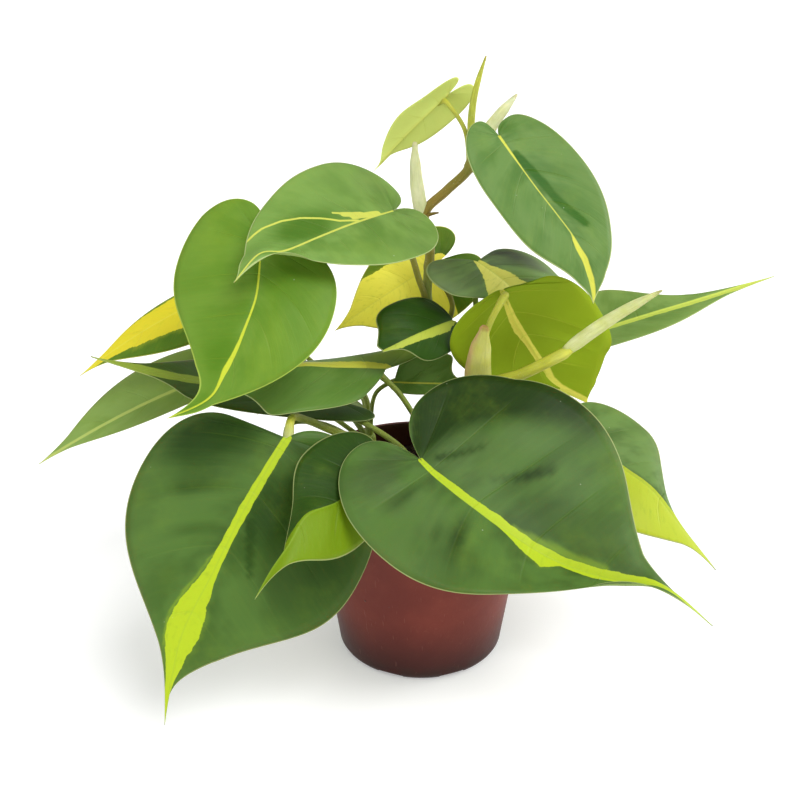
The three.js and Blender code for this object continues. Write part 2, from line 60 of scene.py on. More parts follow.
def spun(angle):  # what turns rows of points about Z
    return np.array([[math.cos(angle), math.sin(angle), 0], [-math.sin(angle), math.cos(angle), 0],
                     [0, 0, 1]])


def cubic(corners, t):  # a Bezier curve at the values of t
    a, b, c, d = (np.array(corner, float) for corner in corners)
    t = np.asarray(t)[..., None]
    return a * (1 - t) ** 3 + 3 * b * t * (1 - t) ** 2 + 3 * c * t ** 2 * (1 - t) + d * t ** 3


def travelled(path):  # how far along a path each of its points is
    steps = np.linalg.norm(np.diff(path, axis=0), axis=1)
    return np.concatenate([[0], np.cumsum(steps)])


def ringFaces(rings, sides):  # quads between rings of points
    faces = []
    for k in range(rings - 1):
        for s in range(sides):
            a, b = k * sides + s, k * sides + (s + 1) % sides
            faces.append((a, b, b + sides, a + sides))
    return faces


def gathered(parts):  # verts and faces of several parts as one
    verts, faces, count = [], [], 0
    for partVerts, partFaces in parts:
        faces += [tuple(corner + count for corner in face) for face in partFaces]
        count += len(partVerts)
        verts.append(partVerts)
    return np.concatenate(verts), faces


def linked(name, data):
    made = bpy.data.objects.new(name, data)
    bpy.context.scene.collection.objects.link(made)
    return made


def addMesh(name, verts, faces, fields, node, slot, material, merge=0.0):
    mesh = bpy.data.meshes.new(name)
    mesh.from_pydata((np.asarray(verts) * mm).tolist(), [], faces)
    for key, values in fields.items():
        layer = mesh.attributes.new(key, "FLOAT", "POINT")
        layer.data.foreach_set("value", np.asarray(values, np.float32).ravel())
    work = bmesh.new()
    work.from_mesh(mesh)
    if merge:
        bmesh.ops.remove_doubles(work, verts=work.verts, dist=merge * mm)
        bmesh.ops.dissolve_degenerate(work, edges=work.edges, dist=merge * mm)
    work.to_mesh(mesh)
    work.free()
    mesh.shade_smooth()
    mesh.materials.append(material)
    piece = linked(name, mesh)
    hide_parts(node)
    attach(piece, "root")
    return piece


# shader writing

class Wire:  # a socket that sums, scales and mixes like a number
    def __init__(self, tree, socket=None):
        self.tree = tree
        self.socket = socket

    def node(self, kind, settings=None, sockets=None, output=0):
        made = self.tree.nodes.new("ShaderNode" + kind)
        for key, value in (settings or {}).items():
            if key == "stops":
                ramp = made.color_ramp.elements
                while len(ramp) < len(value):
                    ramp.new(0.5)
                for stop, (place, tint) in zip(ramp, value):
                    stop.position = place
                    stop.color = tint
            else:
                setattr(made, key, value)
        for key, value in (sockets or {}).items():
            if isinstance(value, Wire):
                self.tree.links.new(value.socket, made.inputs[key])
            else:
                made.inputs[key].default_value = value
        return Wire(self.tree, made.outputs[output])

    def math(self, operation, *values):
        return self.node("Math", {"operation": operation}, dict(enumerate(values)))

    def __add__(self, other):
        return self.math("ADD", self, other)

    def __sub__(self, other):
        return self.math("SUBTRACT", self, other)

    def __rsub__(self, other):
        return self.math("SUBTRACT", other, self)

    def __mul__(self, other):
        return self.math("MULTIPLY", self, other)

    def __pow__(self, other):
        return self.math("POWER", self, other)

    __radd__ = __add__
    __rmul__ = __mul__

    def size(self):
        return self.math("ABSOLUTE", self)

    def smooth(self, low, high):  # 0 below low, 1 above high, and the other way round
        if low > high:
            return 1 - self.smooth(high, low)
        sockets = {"Value": self, "From Min": low, "From Max": high}
        return self.node("MapRange", {"interpolation_type": "SMOOTHSTEP"}, sockets)

    def line(self, count, width):  # 1 on evenly spaced lines, 0 between them
        return (self.math("FRACT", self * count) - 0.5).size().smooth(width, 0)

    def field(self, name):
        return self.node("Attribute", {"attribute_name": name}, output=2)

    def place(self):
        return self.node("TexCoord", output=3)

    def joined(self, x, y, z):
        return self.node("CombineXYZ", sockets={0: x, 1: y, 2: z})

    def noise(self, vector, scale, detail=3.0, roughness=0.55):
        sockets = {"Vector": vector, "Scale": scale, "Detail": detail, "Roughness": roughness}
        return self.node("TexNoise", sockets=sockets)

    def split(self, vector):  # its three parts
        outputs = self.node("SeparateXYZ", sockets={0: vector}).socket.node.outputs
        return [Wire(self.tree, output) for output in outputs]

    def dots(self, vector, scale, edge, core):  # 1 inside small dots, 0 between them
        return self.node("TexVoronoi", sockets={"Vector": vector, "Scale": scale}).smooth(edge, core)

    def ramp(self, tones, value):
        stops = [(place, colour(*tone)) for place, tone in tones]
        return self.node("ValToRGB", {"stops": stops}, {0: value})

    def mix(self, one, other, share):
        return self.node("Mix", {"data_type": "RGBA"}, {0: share, 6: one, 7: other}, output=2)

    def layered(self, body, *layers):  # tints laid over one another, each with its share
        for tint, share in layers:
            body = self.mix(body, tint, share)
        return body

    def bump(self, height, depth):  # depth in metres
        return self.node("Bump", sockets={"Height": height, "Distance": depth})


def finish(name, surface, **fixed):  # surface(wire) gives what changes over the piece
    made = bpy.data.materials.new(name)
    made.use_nodes = True
    shader = made.node_tree.nodes["Principled BSDF"]
    for key, value in fixed.items():
        shader.inputs[key.replace("_", " ")].default_value = value
    for key, value in surface(Wire(made.node_tree)).items():
        made.node_tree.links.new(value.socket, shader.inputs[key])
    return made


# leaves

# Shape in millimetres, as in the frame: base is the notch, face the way the upper side looks, and
# pairs are for the right and left half. streak lists how far along the midrib, and how wide the
# light streak is there to the right and to the left. A spike is a light tooth along a side vein:
# side (1 right, -1 left), place along the outline, how far it reaches across, and its breadth. A mark
# is a light line: side, its corners (along, millimetres across) and half its breadth. A flame is a
# darker one, with its strength. A shade is a soft patch, partly painted shade and sheen and partly the
# leaf's own tone: side, place along the outline and across the half, breadth of both, strength. A
# strength below 0 makes the green paler. bend is how far along X and Z the grown blade strays from the
# plain one: midrib, right edge, left edge and tip.
leafColours = {
    "dark": dict(ground=(75, 107, 44), shade=(34, 62, 10), light=(168, 190, 34), tint=(118, 148, 38),
                 back=(120, 146, 74), edge=(160, 172, 110), rib=(136, 164, 56)),
    "mid": dict(ground=(105, 141, 58), shade=(70, 108, 28), light=(196, 196, 70), tint=(146, 172, 66),
                back=(140, 164, 92), edge=(176, 190, 126), rib=(186, 196, 90)),
    "bright": dict(ground=(100, 140, 22), shade=(74, 116, 14), light=(188, 198, 52),
                   tint=(146, 172, 44), back=(150, 176, 20), edge=(172, 196, 84), rib=(184, 198, 60)),
    "yellow": dict(ground=(78, 114, 18), shade=(50, 84, 8), light=(206, 198, 44), tint=(168, 178, 40),
                   back=(160, 172, 76), edge=(200, 200, 96), rib=(210, 210, 90)),
    "young": dict(ground=(176, 196, 78), shade=(152, 180, 56), light=(206, 214, 112),
                  tint=(192, 206, 96), back=(206, 220, 118), edge=(216, 224, 150), rib=(206, 218, 96)),
}

leaves = {
    "leaf_front_right": dict(
        base=(-1, -46, 104), tip=(97, -82, 59), face=(10, 56), half=(38, 52), wide=(0.15, 0.25),
        lobe=(0.18, 0.15), full=(0.85, 1.2), tail=(0.64, 0.74), fold=(9, 12), cup=(-4, -4), lift=(4, 6),
        sway=(13, 2),
        bend=dict(middle=[(0, -3), (0, -5), (0, -1), (0, 5)],
                  right=[(2, -1.5), (0, -1.5), (0, 3), (0, 1), (0, 6)],
                  left=[(-1.5, 1), (2, 3), (1, 0), (0, 0), (0, 0)], tip=(1, 0)),
        look="dark", veins=7, greySheen=0.35, shade=(30, 52, 10),
        streak=[(0, 1.1, 0.9), (0.05, 1.2, 1.2), (0.12, 0.6, 2.2), (0.22, 0.2, 2.8), (0.3, 0.5, 3.2),
                (0.36, 2.2, 2.6), (0.42, 4.6, 2.4), (0.46, 6.4, 2.6), (0.51, 1.6, 2.4),
                (0.61, 2.0, 2.6), (0.68, 1.0, 2.8), (0.76, 0.5, 3.0), (0.9, 1.0, 1.6), (1, 1.2, 1.2)],
        shadeAndSheen=[(-1, 0.18, 0.5, 0.14, 0.5, 1.5), (-1, 0.33, 0.82, 0.12, 0.26, 1.1),
                (-1, 0.46, 0.95, 0.08, 0.14, 0.6), (-1, 0.42, 0.5, 0.05, 0.2, -0.25),
                (-1, 0.52, 0.45, 0.03, 0.4, 0.5), (-1, 0.6, 0.4, 0.02, 0.3, 0.4),
                (1, 0.37, 0.42, 0.018, 0.3, 0.6), (1, 0.5, 0.4, 0.022, 0.34, 0.8),
                (1, 0.46, 0.5, 0.016, 0.2, 0.5), (1, 0.2, 0.5, 0.1, 0.3, 0.4),
                (1, 0.42, 0.85, 0.06, 0.2, -0.2)],
        flames=[(-1, [(0.03, 5), (0.12, 20)], 1.6, 0.5), (-1, [(0.2, 12), (0.36, 26)], 1.6, 0.35),
                (-1, [(0.34, 2), (0.45, 3.6), (0.54, 3.4), (0.64, 2.8)], 1.7, -1.0)]),
    "leaf_front_left": dict(
        base=(-49, -40, 110), tip=(-90, -86, 22), face=(-8, 32), half=(41, 49), wide=(0.28, 0.3),
        lobe=(-0.03, 0.1), full=(0.8, 1), tail=(0.75, 0.77), fold=(4, -20), cup=(-4, -4), lift=(6, 8),
        sway=(6, 8),
        bend=dict(middle=[(1, 0), (1, 0), (-1.5, 0), (-1, 0)],
                  right=[(0, 0), (0, 0), (-0.5, 0), (-0.5, 0), (0, 0)],
                  left=[(0, 0), (0, 0), (0, -1.5), (0, -2), (-4, 0)], tip=(-1, -1.5)),
        look="dark", veins=7, greySheen=0.25,
        streak=[(0, 1.2, 1.8), (0.14, 1.4, 1.9), (0.27, 2.0, 1.8), (0.4, 2.0, 1.4), (0.49, 2.8, 1.6),
                (0.53, 3.8, 2.2), (0.58, 5.0, 3.4), (0.64, 6.4, 4.6), (0.7, 6.6, 5.4), (0.78, 4.8, 3.8),
                (0.87, 2.6, 2.6), (1, 1.2, 1.0)],
        shadeAndSheen=[(1, 0.36, 0.6, 0.1, 0.4, 1.2), (1, 0.12, 0.6, 0.14, 0.5, 0.9),
                (-1, 0.5, 0.2, 0.12, 0.26, 1.0), (-1, 0.5, 0.8, 0.16, 0.3, 0.7),
                (-1, 0.25, 0.5, 0.1, 0.4, 0.8), (1, 0.5, 0.45, 0.02, 0.36, 0.5),
                (1, 0.6, 0.4, 0.018, 0.3, 0.5), (1, 0.5, 0.85, 0.06, 0.15, -0.3),
                (-1, 0.7, 0.5, 0.05, 0.3, -0.25), (1, 0.7, 0.6, 0.05, 0.2, -0.3)],
        flames=[(-1, [(0.3, 4), (0.46, 12)], 1.4, 0.5),
                (1, [(0.44, 2.8), (0.53, 4.4), (0.58, 5.8), (0.66, 7.4), (0.76, 6)], 0.6, -1.0)]),
    "leaf_front_middle": dict(
        base=(-18, -45, 101), tip=(-55, -92, 76), face=(-15, 50), half=(16, 14), wide=(0.2, 0.3),
        lobe=(0.14, 0.1), tail=(0.74, 0.8), fold=(20, -25), cup=(-3, -4), lift=(3, 5),
        bend=dict(middle=[(0, 0), (-3, 4), (-1.5, 3), (-1.5, 2)],
                  right=[(-2, 2), (-4.5, 4.5), (1, 0), (1, 0), (0, 0)],
                  left=[(0, 0), (0, 0), (0, 1), (0, 3.5), (0, 3)], tip=(-1, 0)),
        look="dark", ground=(38, 66, 12), light=(104, 132, 6),
        streak=[(0, 0.3, 40), (0.42, 0.3, 40), (0.55, 1.5, 40), (0.7, 5, 40), (0.85, 12, 40),
                (1, 12, 40)],
        shadeAndSheen=[(1, 0.3, 0.4, 0.2, 0.4, 0.6), (-1, 0.45, 0.5, 0.12, 0.3, 0.3)]),
    "leaf_low_right": dict(
        base=(59, -8, 100), tip=(109, -40, 57), face=(30, 50), half=(26, 18), wide=(0.2, 0.25),
        lobe=(0.2, 0.08), full=(1, 0.7), tail=(0.8, 0.62), fold=(5, 5), cup=(-4, -4), lift=(3, 5),
        bend=dict(middle=[(0, 0), (1, 1.5), (-1, 2), (0, 0)],
                  right=[(0, 0), (0, 0), (0, 0), (0, 0), (-1, 1)],
                  left=[(1, 1), (4.5, 3), (2, 0), (0, 0), (-2, 0)], tip=(1, -1.5)),
        look="dark", ground=(100, 130, 66), light=(170, 184, 46),
        streak=[(0, 1, 0.8), (0.3, 2, 1), (0.42, 8, 1.2), (0.55, 20, 1.2), (0.8, 20, 1.6), (1, 8, 3)]),
    "leaf_upper_left": dict(
        base=(-57, -14, 177), tip=(-89, -50, 122), face=(-10, 25), half=(27, 31), wide=(0.18, 0.32),
        lobe=(0.13, 0.02), full=(0.8, 1), tail=(0.74, 0.8), fold=(4, 4), cup=(-4, -4), lift=(4, 6),
        sway=(-2, -16),
        bend=dict(middle=[(5, 0), (4.8, 0), (5, 0), (6, -0.5)],
                  right=[(0, 1), (0, 0), (0, 0), (1, 0), (4, 0)],
                  left=[(1, 0), (2, 0), (0, 1), (0, -1), (2, -1)]),
        look="bright", veins=7, ground=(98, 134, 40),
        streak=[(0, 0.3, 0.3), (0.4, 0.35, 0.4), (0.55, 0.5, 0.6), (0.68, 1.0, 0.9), (0.78, 0.5, 0.5),
                (0.9, 0.2, 0.2), (1, 0.1, 0.1)],
        shadeAndSheen=[(-1, 0.2, 0.6, 0.12, 0.4, 0.7), (1, 0.15, 0.3, 0.1, 0.4, 0.5),
                (-1, 0.45, 0.5, 0.12, 0.3, 0.25), (1, 0.4, 0.6, 0.15, 0.3, -0.3),
                (-1, 0.6, 0.5, 0.1, 0.4, -0.4), (1, 0.78, 0.4, 0.1, 0.5, 0.7)]),
    "leaf_top_left": dict(
        base=(-11, 2, 182), tip=(-64, -44, 168), face=(0, 64), half=(30, 26), wide=(0.16, 0.12),
        lobe=(0.16, 0.1), full=(1.5, 1), tail=(0.88, 0.62), fold=(12, 2), cup=(0, -2), lift=(4, 6),
        bend=dict(middle=[(0, 0), (0, 0), (0, 1), (0, 5)],
                  right=[(-1, -1), (0, 0), (3, -1), (1, 1), (0, 2)],
                  left=[(0, 2), (0, 0), (0, -1), (0, -2), (0, 4)], tip=(0, 1)),
        look="mid", veins=7, columns=40, greySheen=0.3, ground=(112, 146, 68), light=(190, 196, 84),
        streak=[(0, 0.4, 0.3), (0.2, 0.5, 0.4), (1, 0.35, 0.35)],
        marks=[(1, [(0.23, 0.5), (0.33, 3.2), (0.41, 7.5), (0.5, 11.6), (0.6, 13.8), (0.71, 13.8),
                    (0.83, 11.2)], 0.46),
               (1, [(0.1, 0.9), (0.24, 2.8)], 1.3), (1, [(0.19, 2.8), (0.28, 5.4)], 1.3),
               (1, [(0.27, 5.6), (0.33, 7.8)], 0.5)],
        shadeAndSheen=[(1, 0.7, 0.34, 0.08, 0.4, 0.8), (1, 0.62, 0.3, 0.14, 0.3, 0.6),
                (-1, 0.5, 0.6, 0.1, 0.4, 0.4), (1, 0.3, 0.7, 0.1, 0.25, -0.35),
                (1, 0.22, 0.3, 0.06, 0.3, 0.5), (-1, 0.25, 0.6, 0.1, 0.4, -0.2)]),
    "leaf_centre_left": dict(
        base=(-14, 0, 121), tip=(-79, -25, 124), face=(0, 75), half=(14, 24), wide=(0.1, 0.5),
        lobe=(0.3, -0.03), full=(1, 1.2), tail=(0.8, 0.85), fold=(4, -8), cup=(-2, -4), lift=(2, 2),
        bend=dict(middle=[(0, 1.5), (0, 3), (0, 1), (0, 0)],
                  right=[(-1, 6), (0, -1.5), (0, -2), (0, 0), (0, 0)],
                  left=[(-8, 1), (-2, 6.5), (0, 3), (0, 0), (0, 0)]),
        look="mid", greySheen=0.4, ground=(92, 126, 54),
        streak=[(0, 2.4, 0.3), (0.1, 4.6, 0.4), (0.3, 5.4, 0.4), (0.45, 4.4, 0.4), (0.6, 1.2, 0.4),
                (1, 0.4, 0.4)],
        shadeAndSheen=[(1, 0.25, 0.6, 0.25, 0.6, -1.0)]),
    "leaf_wide_left": dict(
        base=(-33, 14, 101), tip=(-127, 0, 126), face=(0, 85), half=(28, 17), wide=(0.2, 0.4),
        lobe=(0.04, 0.14), tail=(0.8, 0.75), fold=(2, 2), lift=(2, 0), sway=(-4, -10), look="dark",
        veins=7, ground=(58, 84, 26), light=(130, 150, 50),
        streak=[(0, 1, 1), (0.3, 1.5, 1.5), (0.5, 3.0, 2.6), (0.8, 3.4, 3.2), (1, 2, 2)],
        shadeAndSheen=[(-1, 0.2, 0.6, 0.2, 0.4, 0.7), (1, 0.2, 0.6, 0.2, 0.4, 0.3)]),
    "leaf_far_left": dict(
        base=(-88, 28, 106), tip=(-157, 12, 74), face=(-10, 60), half=(21, 8), lobe=(0.19, 0.19),
        fold=(0, 0), lift=(5, 4), look="mid", ground=(122, 150, 74), shade=(104, 134, 52),
        light=(160, 178, 94), streak=[(0, 0.8, 0.8), (1, 0.7, 0.7)]),
    "leaf_back_left": dict(
        base=(-76, 40, 142), tip=(-138, 20, 110), face=(-10, 50), half=(9.5, 17), lobe=(0.19, 0.19),
        fold=(2, 2), lift=(6, 6), look="yellow", light=(206, 194, 40),
        streak=[(0, 7, 7), (0.3, 8, 9), (0.6, 6, 5), (0.85, 3, 1.6), (1, 1, 0.6)]),
    "leaf_crown_young": dict(
        base=(9, 20, 221), tip=(-19, 33, 190), face=(170, 30), half=(7.5, 5), wide=(0.1, 0.1),
        lobe=(0.2, 0.18), fold=(5, 20), lift=(2, 3),
        bend=dict(right=[(1, 0), (1, 0), (0, -1), (0, 1), (0, 0)],
                  left=[(0, 0), (0, 1), (-2.5, 2.5), (-1.5, 1.5), (0, 0)]),
        look="young", streak=[(0, 0.5, 0.5), (1, 0.4, 0.4)]),
    "leaf_crown_right": dict(
        base=(27, 2, 209), tip=(60, -24, 155), face=(30, 28), half=(19, 20), wide=(0.22, 0.34),
        lobe=(0.15, 0.12), full=(1.2, 1.3), tail=(0.85, 0.85), fold=(10, 8), lift=(4, 5),
        sway=(-3, -12),
        bend=dict(middle=[(-1.4, -2), (-1.8, -1.5), (-1.2, 0), (-1, 0)],
                  right=[(3, 0), (-2.5, -2), (-4, -3.5), (-2.5, -2), (-1, -1)],
                  left=[(3, -2.5), (1, 0), (-1, 0), (1.5, 0), (1, 0)]),
        look="mid", veins=7, ground=(94, 126, 62), shade=(40, 88, 6),
        streak=[(0, 0.7, 0.5), (0.12, 0.5, 0.4), (0.2, 0.2, 0.2), (0.62, 0.12, 0.12), (0.66, 1.2, 0.2),
                (0.71, 1.5, 0.4), (0.77, 0.8, 1.0), (0.87, 0.3, 1.0), (1, 0.1, 0.3)],
        shadeAndSheen=[(-1, 0.14, 0.5, 0.05, 0.3, 0.6), (1, 0.3, 0.5, 0.1, 0.3, -0.3),
                (1, 0.55, 0.4, 0.06, 0.3, 0.3), (-1, 0.45, 0.75, 0.1, 0.2, -0.2)],
        flames=[(-1, [(0.12, 1.2), (0.22, 2.4), (0.32, 3.2), (0.42, 3.4), (0.52, 4.8),
                      (0.6, 6.4)], 1.6, 1.2)]),
    "leaf_back_centre": dict(
        base=(8, 42, 152), tip=(-35, 26, 127), face=(-10, 25), half=(17, 23), lobe=(0.22, 0.28),
        fold=(3, 3), lift=(3, 4), look="yellow", light=(246, 236, 84),
        streak=[(0, 3, 2), (0.05, 4, 6), (0.14, 8, 24), (0.3, 10, 24), (0.7, 11, 24), (1, 8, 20)]),
    "leaf_small_centre": dict(
        base=(12, 10, 137), tip=(-15, -12, 132), face=(0, 36), half=(17, 11), wide=(0.65, 0.4),
        lobe=(0, 0.06), full=(1.4, 1), tail=(0.92, 0.8), fold=(10, -8), lift=(3, 4),
        bend=dict(right=[(-1.5, -1), (0, -2), (1.5, -3.5), (-2.5, -1.5), (-1.5, -0.5)]),
        look="dark", veins=5, ground=(38, 72, 6), shade=(32, 62, 4), light=(172, 184, 66),
        streak=[(0, 0.3, 1.4), (0.15, 0.3, 3.4), (0.4, 0.3, 3.0), (0.8, 0.4, 1.8), (1, 0.5, 0.8)],
        shadeAndSheen=[(1, 0.3, 0.5, 0.2, 0.4, 0.5)]),
    "leaf_centre_right": dict(
        base=(21, 12, 160), tip=(46, 16, 133), face=(10, 60), half=(16, 19), wide=(0.02, 0.75),
        lobe=(0.3, -0.05), full=(0.5, 1.2), tail=(0.6, 0.9), fold=(4, 4), lift=(4, 5),
        bend=dict(right=[(-7, -3), (-5, -1), (-2, 0), (0, 0), (0, 0)],
                  left=[(0, -1.5), (6, 1), (8, 4), (2, 0), (0, 0)]),
        look="dark", greySheen=0.7, ground=(112, 142, 80), shade=(66, 72, 58), light=(222, 218, 100),
        streak=[(0, 1.4, 1.2), (0.15, 5, 2), (0.3, 11, 4), (0.6, 10, 5), (1, 4, 2)],
        shadeAndSheen=[(-1, 0.3, 0.7, 0.2, 0.3, 0.9), (1, 0.2, 0.5, 0.1, 0.3, 0.3)]),
    "leaf_bright_right": dict(
        base=(29.5, -1, 153), tip=(66, 8, 103), face=(175, -8), half=(25, 28), wide=(0.5, 0.25),
        lobe=(-0.15, 0.05), full=(1.9, 1), tail=(0.86, 0.8), fold=(3, 0), lift=(3, 4),
        bend=dict(middle=[(-4.5, 0), (-5.5, 0), (-7, 0), (-9, 0)],
                  right=[(0, 4), (0, 0), (-5, 0), (3.5, 0), (2, 0)],
                  left=[(1.5, -1), (-3, 0), (0, 0), (0, 0), (0, 0)]),
        look="bright", veins=7, light=(232, 222, 96), back=(132, 156, 18),
        streak=[(0, 0.8, 1.0), (0.15, 1.0, 1.6), (0.35, 1.5, 2.4), (0.5, 1.0, 1.8), (0.7, 1.2, 1.8),
                (0.85, 1.0, 1.2), (1, 0.6, 0.6)],
        shadeAndSheen=[(-1, 0.3, 0.5, 0.2, 0.3, 0.2)]),
    "leaf_far_right": dict(
        base=(61, 26, 123), tip=(143, 36, 147), face=(5, 66), half=(13, 19), wide=(0.25, 0.2),
        lobe=(0.15, 0.15), full=(0.8, 0.3), tail=(0.75, 0.58), fold=(20, 14), lift=(4, 2), sway=(2, 3),
        look="mid", ground=(118, 148, 74), light=(190, 206, 86),
        streak=[(0, 1, 0.8), (0.3, 2.0, 0.8), (0.6, 2.2, 0.8), (1, 1.2, 1)]),
    "leaf_inner_centre": dict(
        base=(-11, 12, 110.5), tip=(20, 11, 110.5), face=(0, 10), half=(5, 12), wide=(0.3, 0.6),
        lobe=(0.05, -0.05), fold=(2, 2), cup=(-1, -1), lift=(2, 2), look="mid", veins=5,
        ground=(104, 140, 66), streak=[(0, 0.3, 0.3), (1, 0.2, 0.2)]),
    "leaf_rear_left": dict(
        base=(-42, 46, 92), tip=(-76, 86, 58), face=(150, 55), half=(26, 26), lobe=(0.1, 0.1),
        fold=(5, 5), cup=(-3, -3), lift=(4, 6),
        bend=dict(middle=[(0, 0), (0, 1), (0, 3), (0, 4.5)],
                  right=[(0, 0), (0, 0), (0, 1.5), (0, 4), (0, 5)],
                  left=[(0, 0), (0, 0), (0, 1.5), (0, 4), (0, 5)], tip=(0, 6)),
        look="dark", veins=7,
        streak=[(0, 1, 1), (0.4, 1.4, 1.4), (0.56, 2.6, 2.2), (0.76, 1.4, 0.8), (0.84, 0.2, 0.2),
                (1, 0.1, 0.1)]),
    "leaf_rear_middle": dict(
        base=(28, 52, 88), tip=(36, 104, 54), face=(175, 55), half=(26, 26), lobe=(0.18, 0.18),
        fold=(5, 5), cup=(-3, -3), lift=(4, 6), look="mid", veins=7,
        streak=[(0, 0.8, 0.8), (0.5, 0.8, 1.6), (0.7, 1.2, 3.6), (1, 0.8, 0.8)],
        spikes=[(-1, 0.55, 0.6, 0.05)]),
    "leaf_low_left": dict(
        base=(-56, -8, 90), tip=(-80, -30, 48), face=(-60, 30), half=(20, 20), lobe=(0.08, 0.08),
        fold=(4, 4), cup=(-3, -3), lift=(4, 6), look="dark",
        streak=[(0, 0.8, 0.8), (0.6, 1.2, 2.6), (1, 0.8, 0.8)]),
}

usualLeaf = dict(wide=(0.2, 0.2), full=(1, 1), tail=(0.8, 0.8), cup=(-2, -2), veins=6)
for leaf in leaves.values():  # what a leaf doesn't say is as usual
    for key, value in usualLeaf.items():
        leaf.setdefault(key, value)

# the grey tint is a painted sheen near the leaf's notch
blade = dict(rows=110, columns=18, crowding=1.5, thickness=0.5, groove=0.2, ridge=0.5, quilt=0.45,
             wave=0.6, swell=1.1, vein=0.1, greySheenTint=(84, 88, 72), speckTint=(190, 194, 170),
             shine=0.14)
unbent = [(0, 0)] * 5


def halfOutline(leaf, side, u):  # x in half widths, y in blade lengths, from the notch to the tip
    wide, lobe, full, tail = (leaf[key][side] for key in ("wide", "lobe", "full", "tail"))
    stretches = [
        (0.16, [(0, 0), (0.05, -0.55 * lobe), (0.16, -lobe), (0.4, -lobe)]),
        (0.26, [(0.4, -lobe), (0.74, -lobe), (1, wide - 0.62 * (wide + lobe)), (1, wide)]),
        (0.4, [(1, wide), (1, wide + 0.3 * full), (0.3 + 0.28 * full, tail - 0.16), (0.22, tail)]),
        (0.18, [(0.22, tail), (0.1, tail + 0.07), (0.03, 0.94), (0, 1)]),
    ]
    edge = np.zeros(u.shape + (2,))
    start = 0
    for share, corners in stretches:
        inside = (u >= start - 1e-9) & (u <= start + share + 1e-6)
        edge[inside] = cubic(corners, np.clip((u[inside] - start) / share, 0, 1))
        start += share
    return edge


def midribOf(leaf):
    base, tip = np.array(leaf["base"], float), np.array(leaf["tip"], float)
    chord = np.linalg.norm(tip - base)
    ahead = (tip - base) / chord
    turn, rise = np.radians(leaf["face"])
    level = math.cos(rise)
    looking = np.array([math.sin(turn) * level, -math.cos(turn) * level, math.sin(rise)])
    upper = unit(looking - ahead * (looking @ ahead))
    right = np.cross(ahead, upper)
    sway = leaf.get("sway", (0, 0))
    bows = [base + ahead * ((k + 1) * chord / 3) + upper * leaf["lift"][k] + right * sway[k]
            for k in (0, 1)]
    corners = [base, *bows, tip]
    t = np.linspace(0, 1, 201)
    run = travelled(cubic(corners, t))
    return dict(corners=corners, upper=upper, length=run[-1], run=run / run[-1], t=t)


def onMidrib(rib, share):  # point, direction and normal at a share of the midrib's length
    t = np.interp(share, rib["run"], rib["t"])
    point = cubic(rib["corners"], t)
    forward = unit(cubic(rib["corners"], t + 1e-4) - cubic(rib["corners"], t - 1e-4))
    normal = unit(rib["upper"] - forward * dot(forward, rib["upper"]))
    return point, forward, normal


def eased(knots, values, t):  # a smooth curve through the values at the knots
    knots, values = np.array(knots, float), np.array(values, float)
    pair = [np.r_[0, 0:len(knots) - 1], np.r_[1:len(knots), len(knots) - 1]]
    slopes = (values[pair[1]] - values[pair[0]]) / (knots[pair[1]] - knots[pair[0]])[:, None]
    k = np.clip(np.searchsorted(knots, t, side="right") - 1, 0, len(knots) - 2)
    gap = (knots[k + 1] - knots[k])[..., None]
    s = np.clip((t - knots[k]) / gap[..., 0], 0, 1)[..., None]
    return (values[k] * (1 + 2 * s) * (1 - s) ** 2 + values[k + 1] * s ** 2 * (3 - 2 * s)
            + slopes[k] * gap * s * (1 - s) ** 2 - slopes[k + 1] * gap * s ** 2 * (1 - s))


def bent(leaf, u, v, share):  # how far the grown blade strays from the plain one, along X and Z
    if "bend" not in leaf:
        return np.zeros(u.shape + (3,))
    bend = leaf["bend"]
    tip = bend.get("tip", (0, 0))
    middle = eased([0, 0.3, 0.5, 0.7, 0.85, 1], [(0, 0), *bend.get("middle", unbent[:4]), tip], share)
    sides = [eased([0, 0.16, 0.42, 0.6, 0.8, 0.9, 1], [(0, 0), *bend.get(key, unbent), tip], u)
             for key in ("right", "left")]
    edge = np.where((v < 0)[..., None], sides[1], sides[0])
    blend = (np.abs(v) ** 1.4)[..., None]
    shift = middle * (1 - blend) + edge * blend
    return np.stack([shift[..., 0], np.zeros(u.shape), shift[..., 1]], axis=-1)


def bladeGrid(leaf, u, v):  # places, normals and the measures that the finish needs
    rib = midribOf(leaf)
    left = v < 0
    both = [halfOutline(leaf, side, u) for side in (0, 1)]
    edge = np.where(left[..., None], both[1], both[0])
    half = np.where(left, leaf["half"][1], leaf["half"][0])
    fold = np.radians(np.where(left, leaf["fold"][1], leaf["fold"][0]))
    cup = np.where(left, leaf["cup"][1], leaf["cup"][0])
    across = edge[..., 0] * np.abs(v)
    veinStart = np.clip((u - 0.3) / 0.7, 0, 1) ** 1.25
    bend = np.where(veinStart > 0, 1.35, 1.0)
    along = veinStart + (edge[..., 1] - veinStart) * np.abs(v) ** bend
    point, forward, normal = onMidrib(rib, np.clip(along, 0, 1))
    sideways = np.cross(forward, normal) * np.where(left, -1, 1)[..., None]
    out = across * half
    behind = np.minimum(along, 0) * rib["length"]
    place = point + forward * behind[..., None] + sideways * (out * np.cos(fold))[..., None]
    place = place + normal * (out * np.sin(fold) + cup * across ** 2)[..., None]
    place = place + bent(leaf, u, v, np.clip(along, 0, 1))
    slope = np.tan(fold) + 2 * cup * across / half
    facing = unit(normal - sideways * (slope * np.minimum(1, out / 2))[..., None])
    reach = np.hypot(out, behind)
    rim = (1 - np.abs(v)) * np.hypot(edge[..., 0] * half, (edge[..., 1] - veinStart) * rib["length"])
    return place, facing, dict(along=along, out=out, reach=reach, rim=rim, length=rib["length"],
                               left=left)


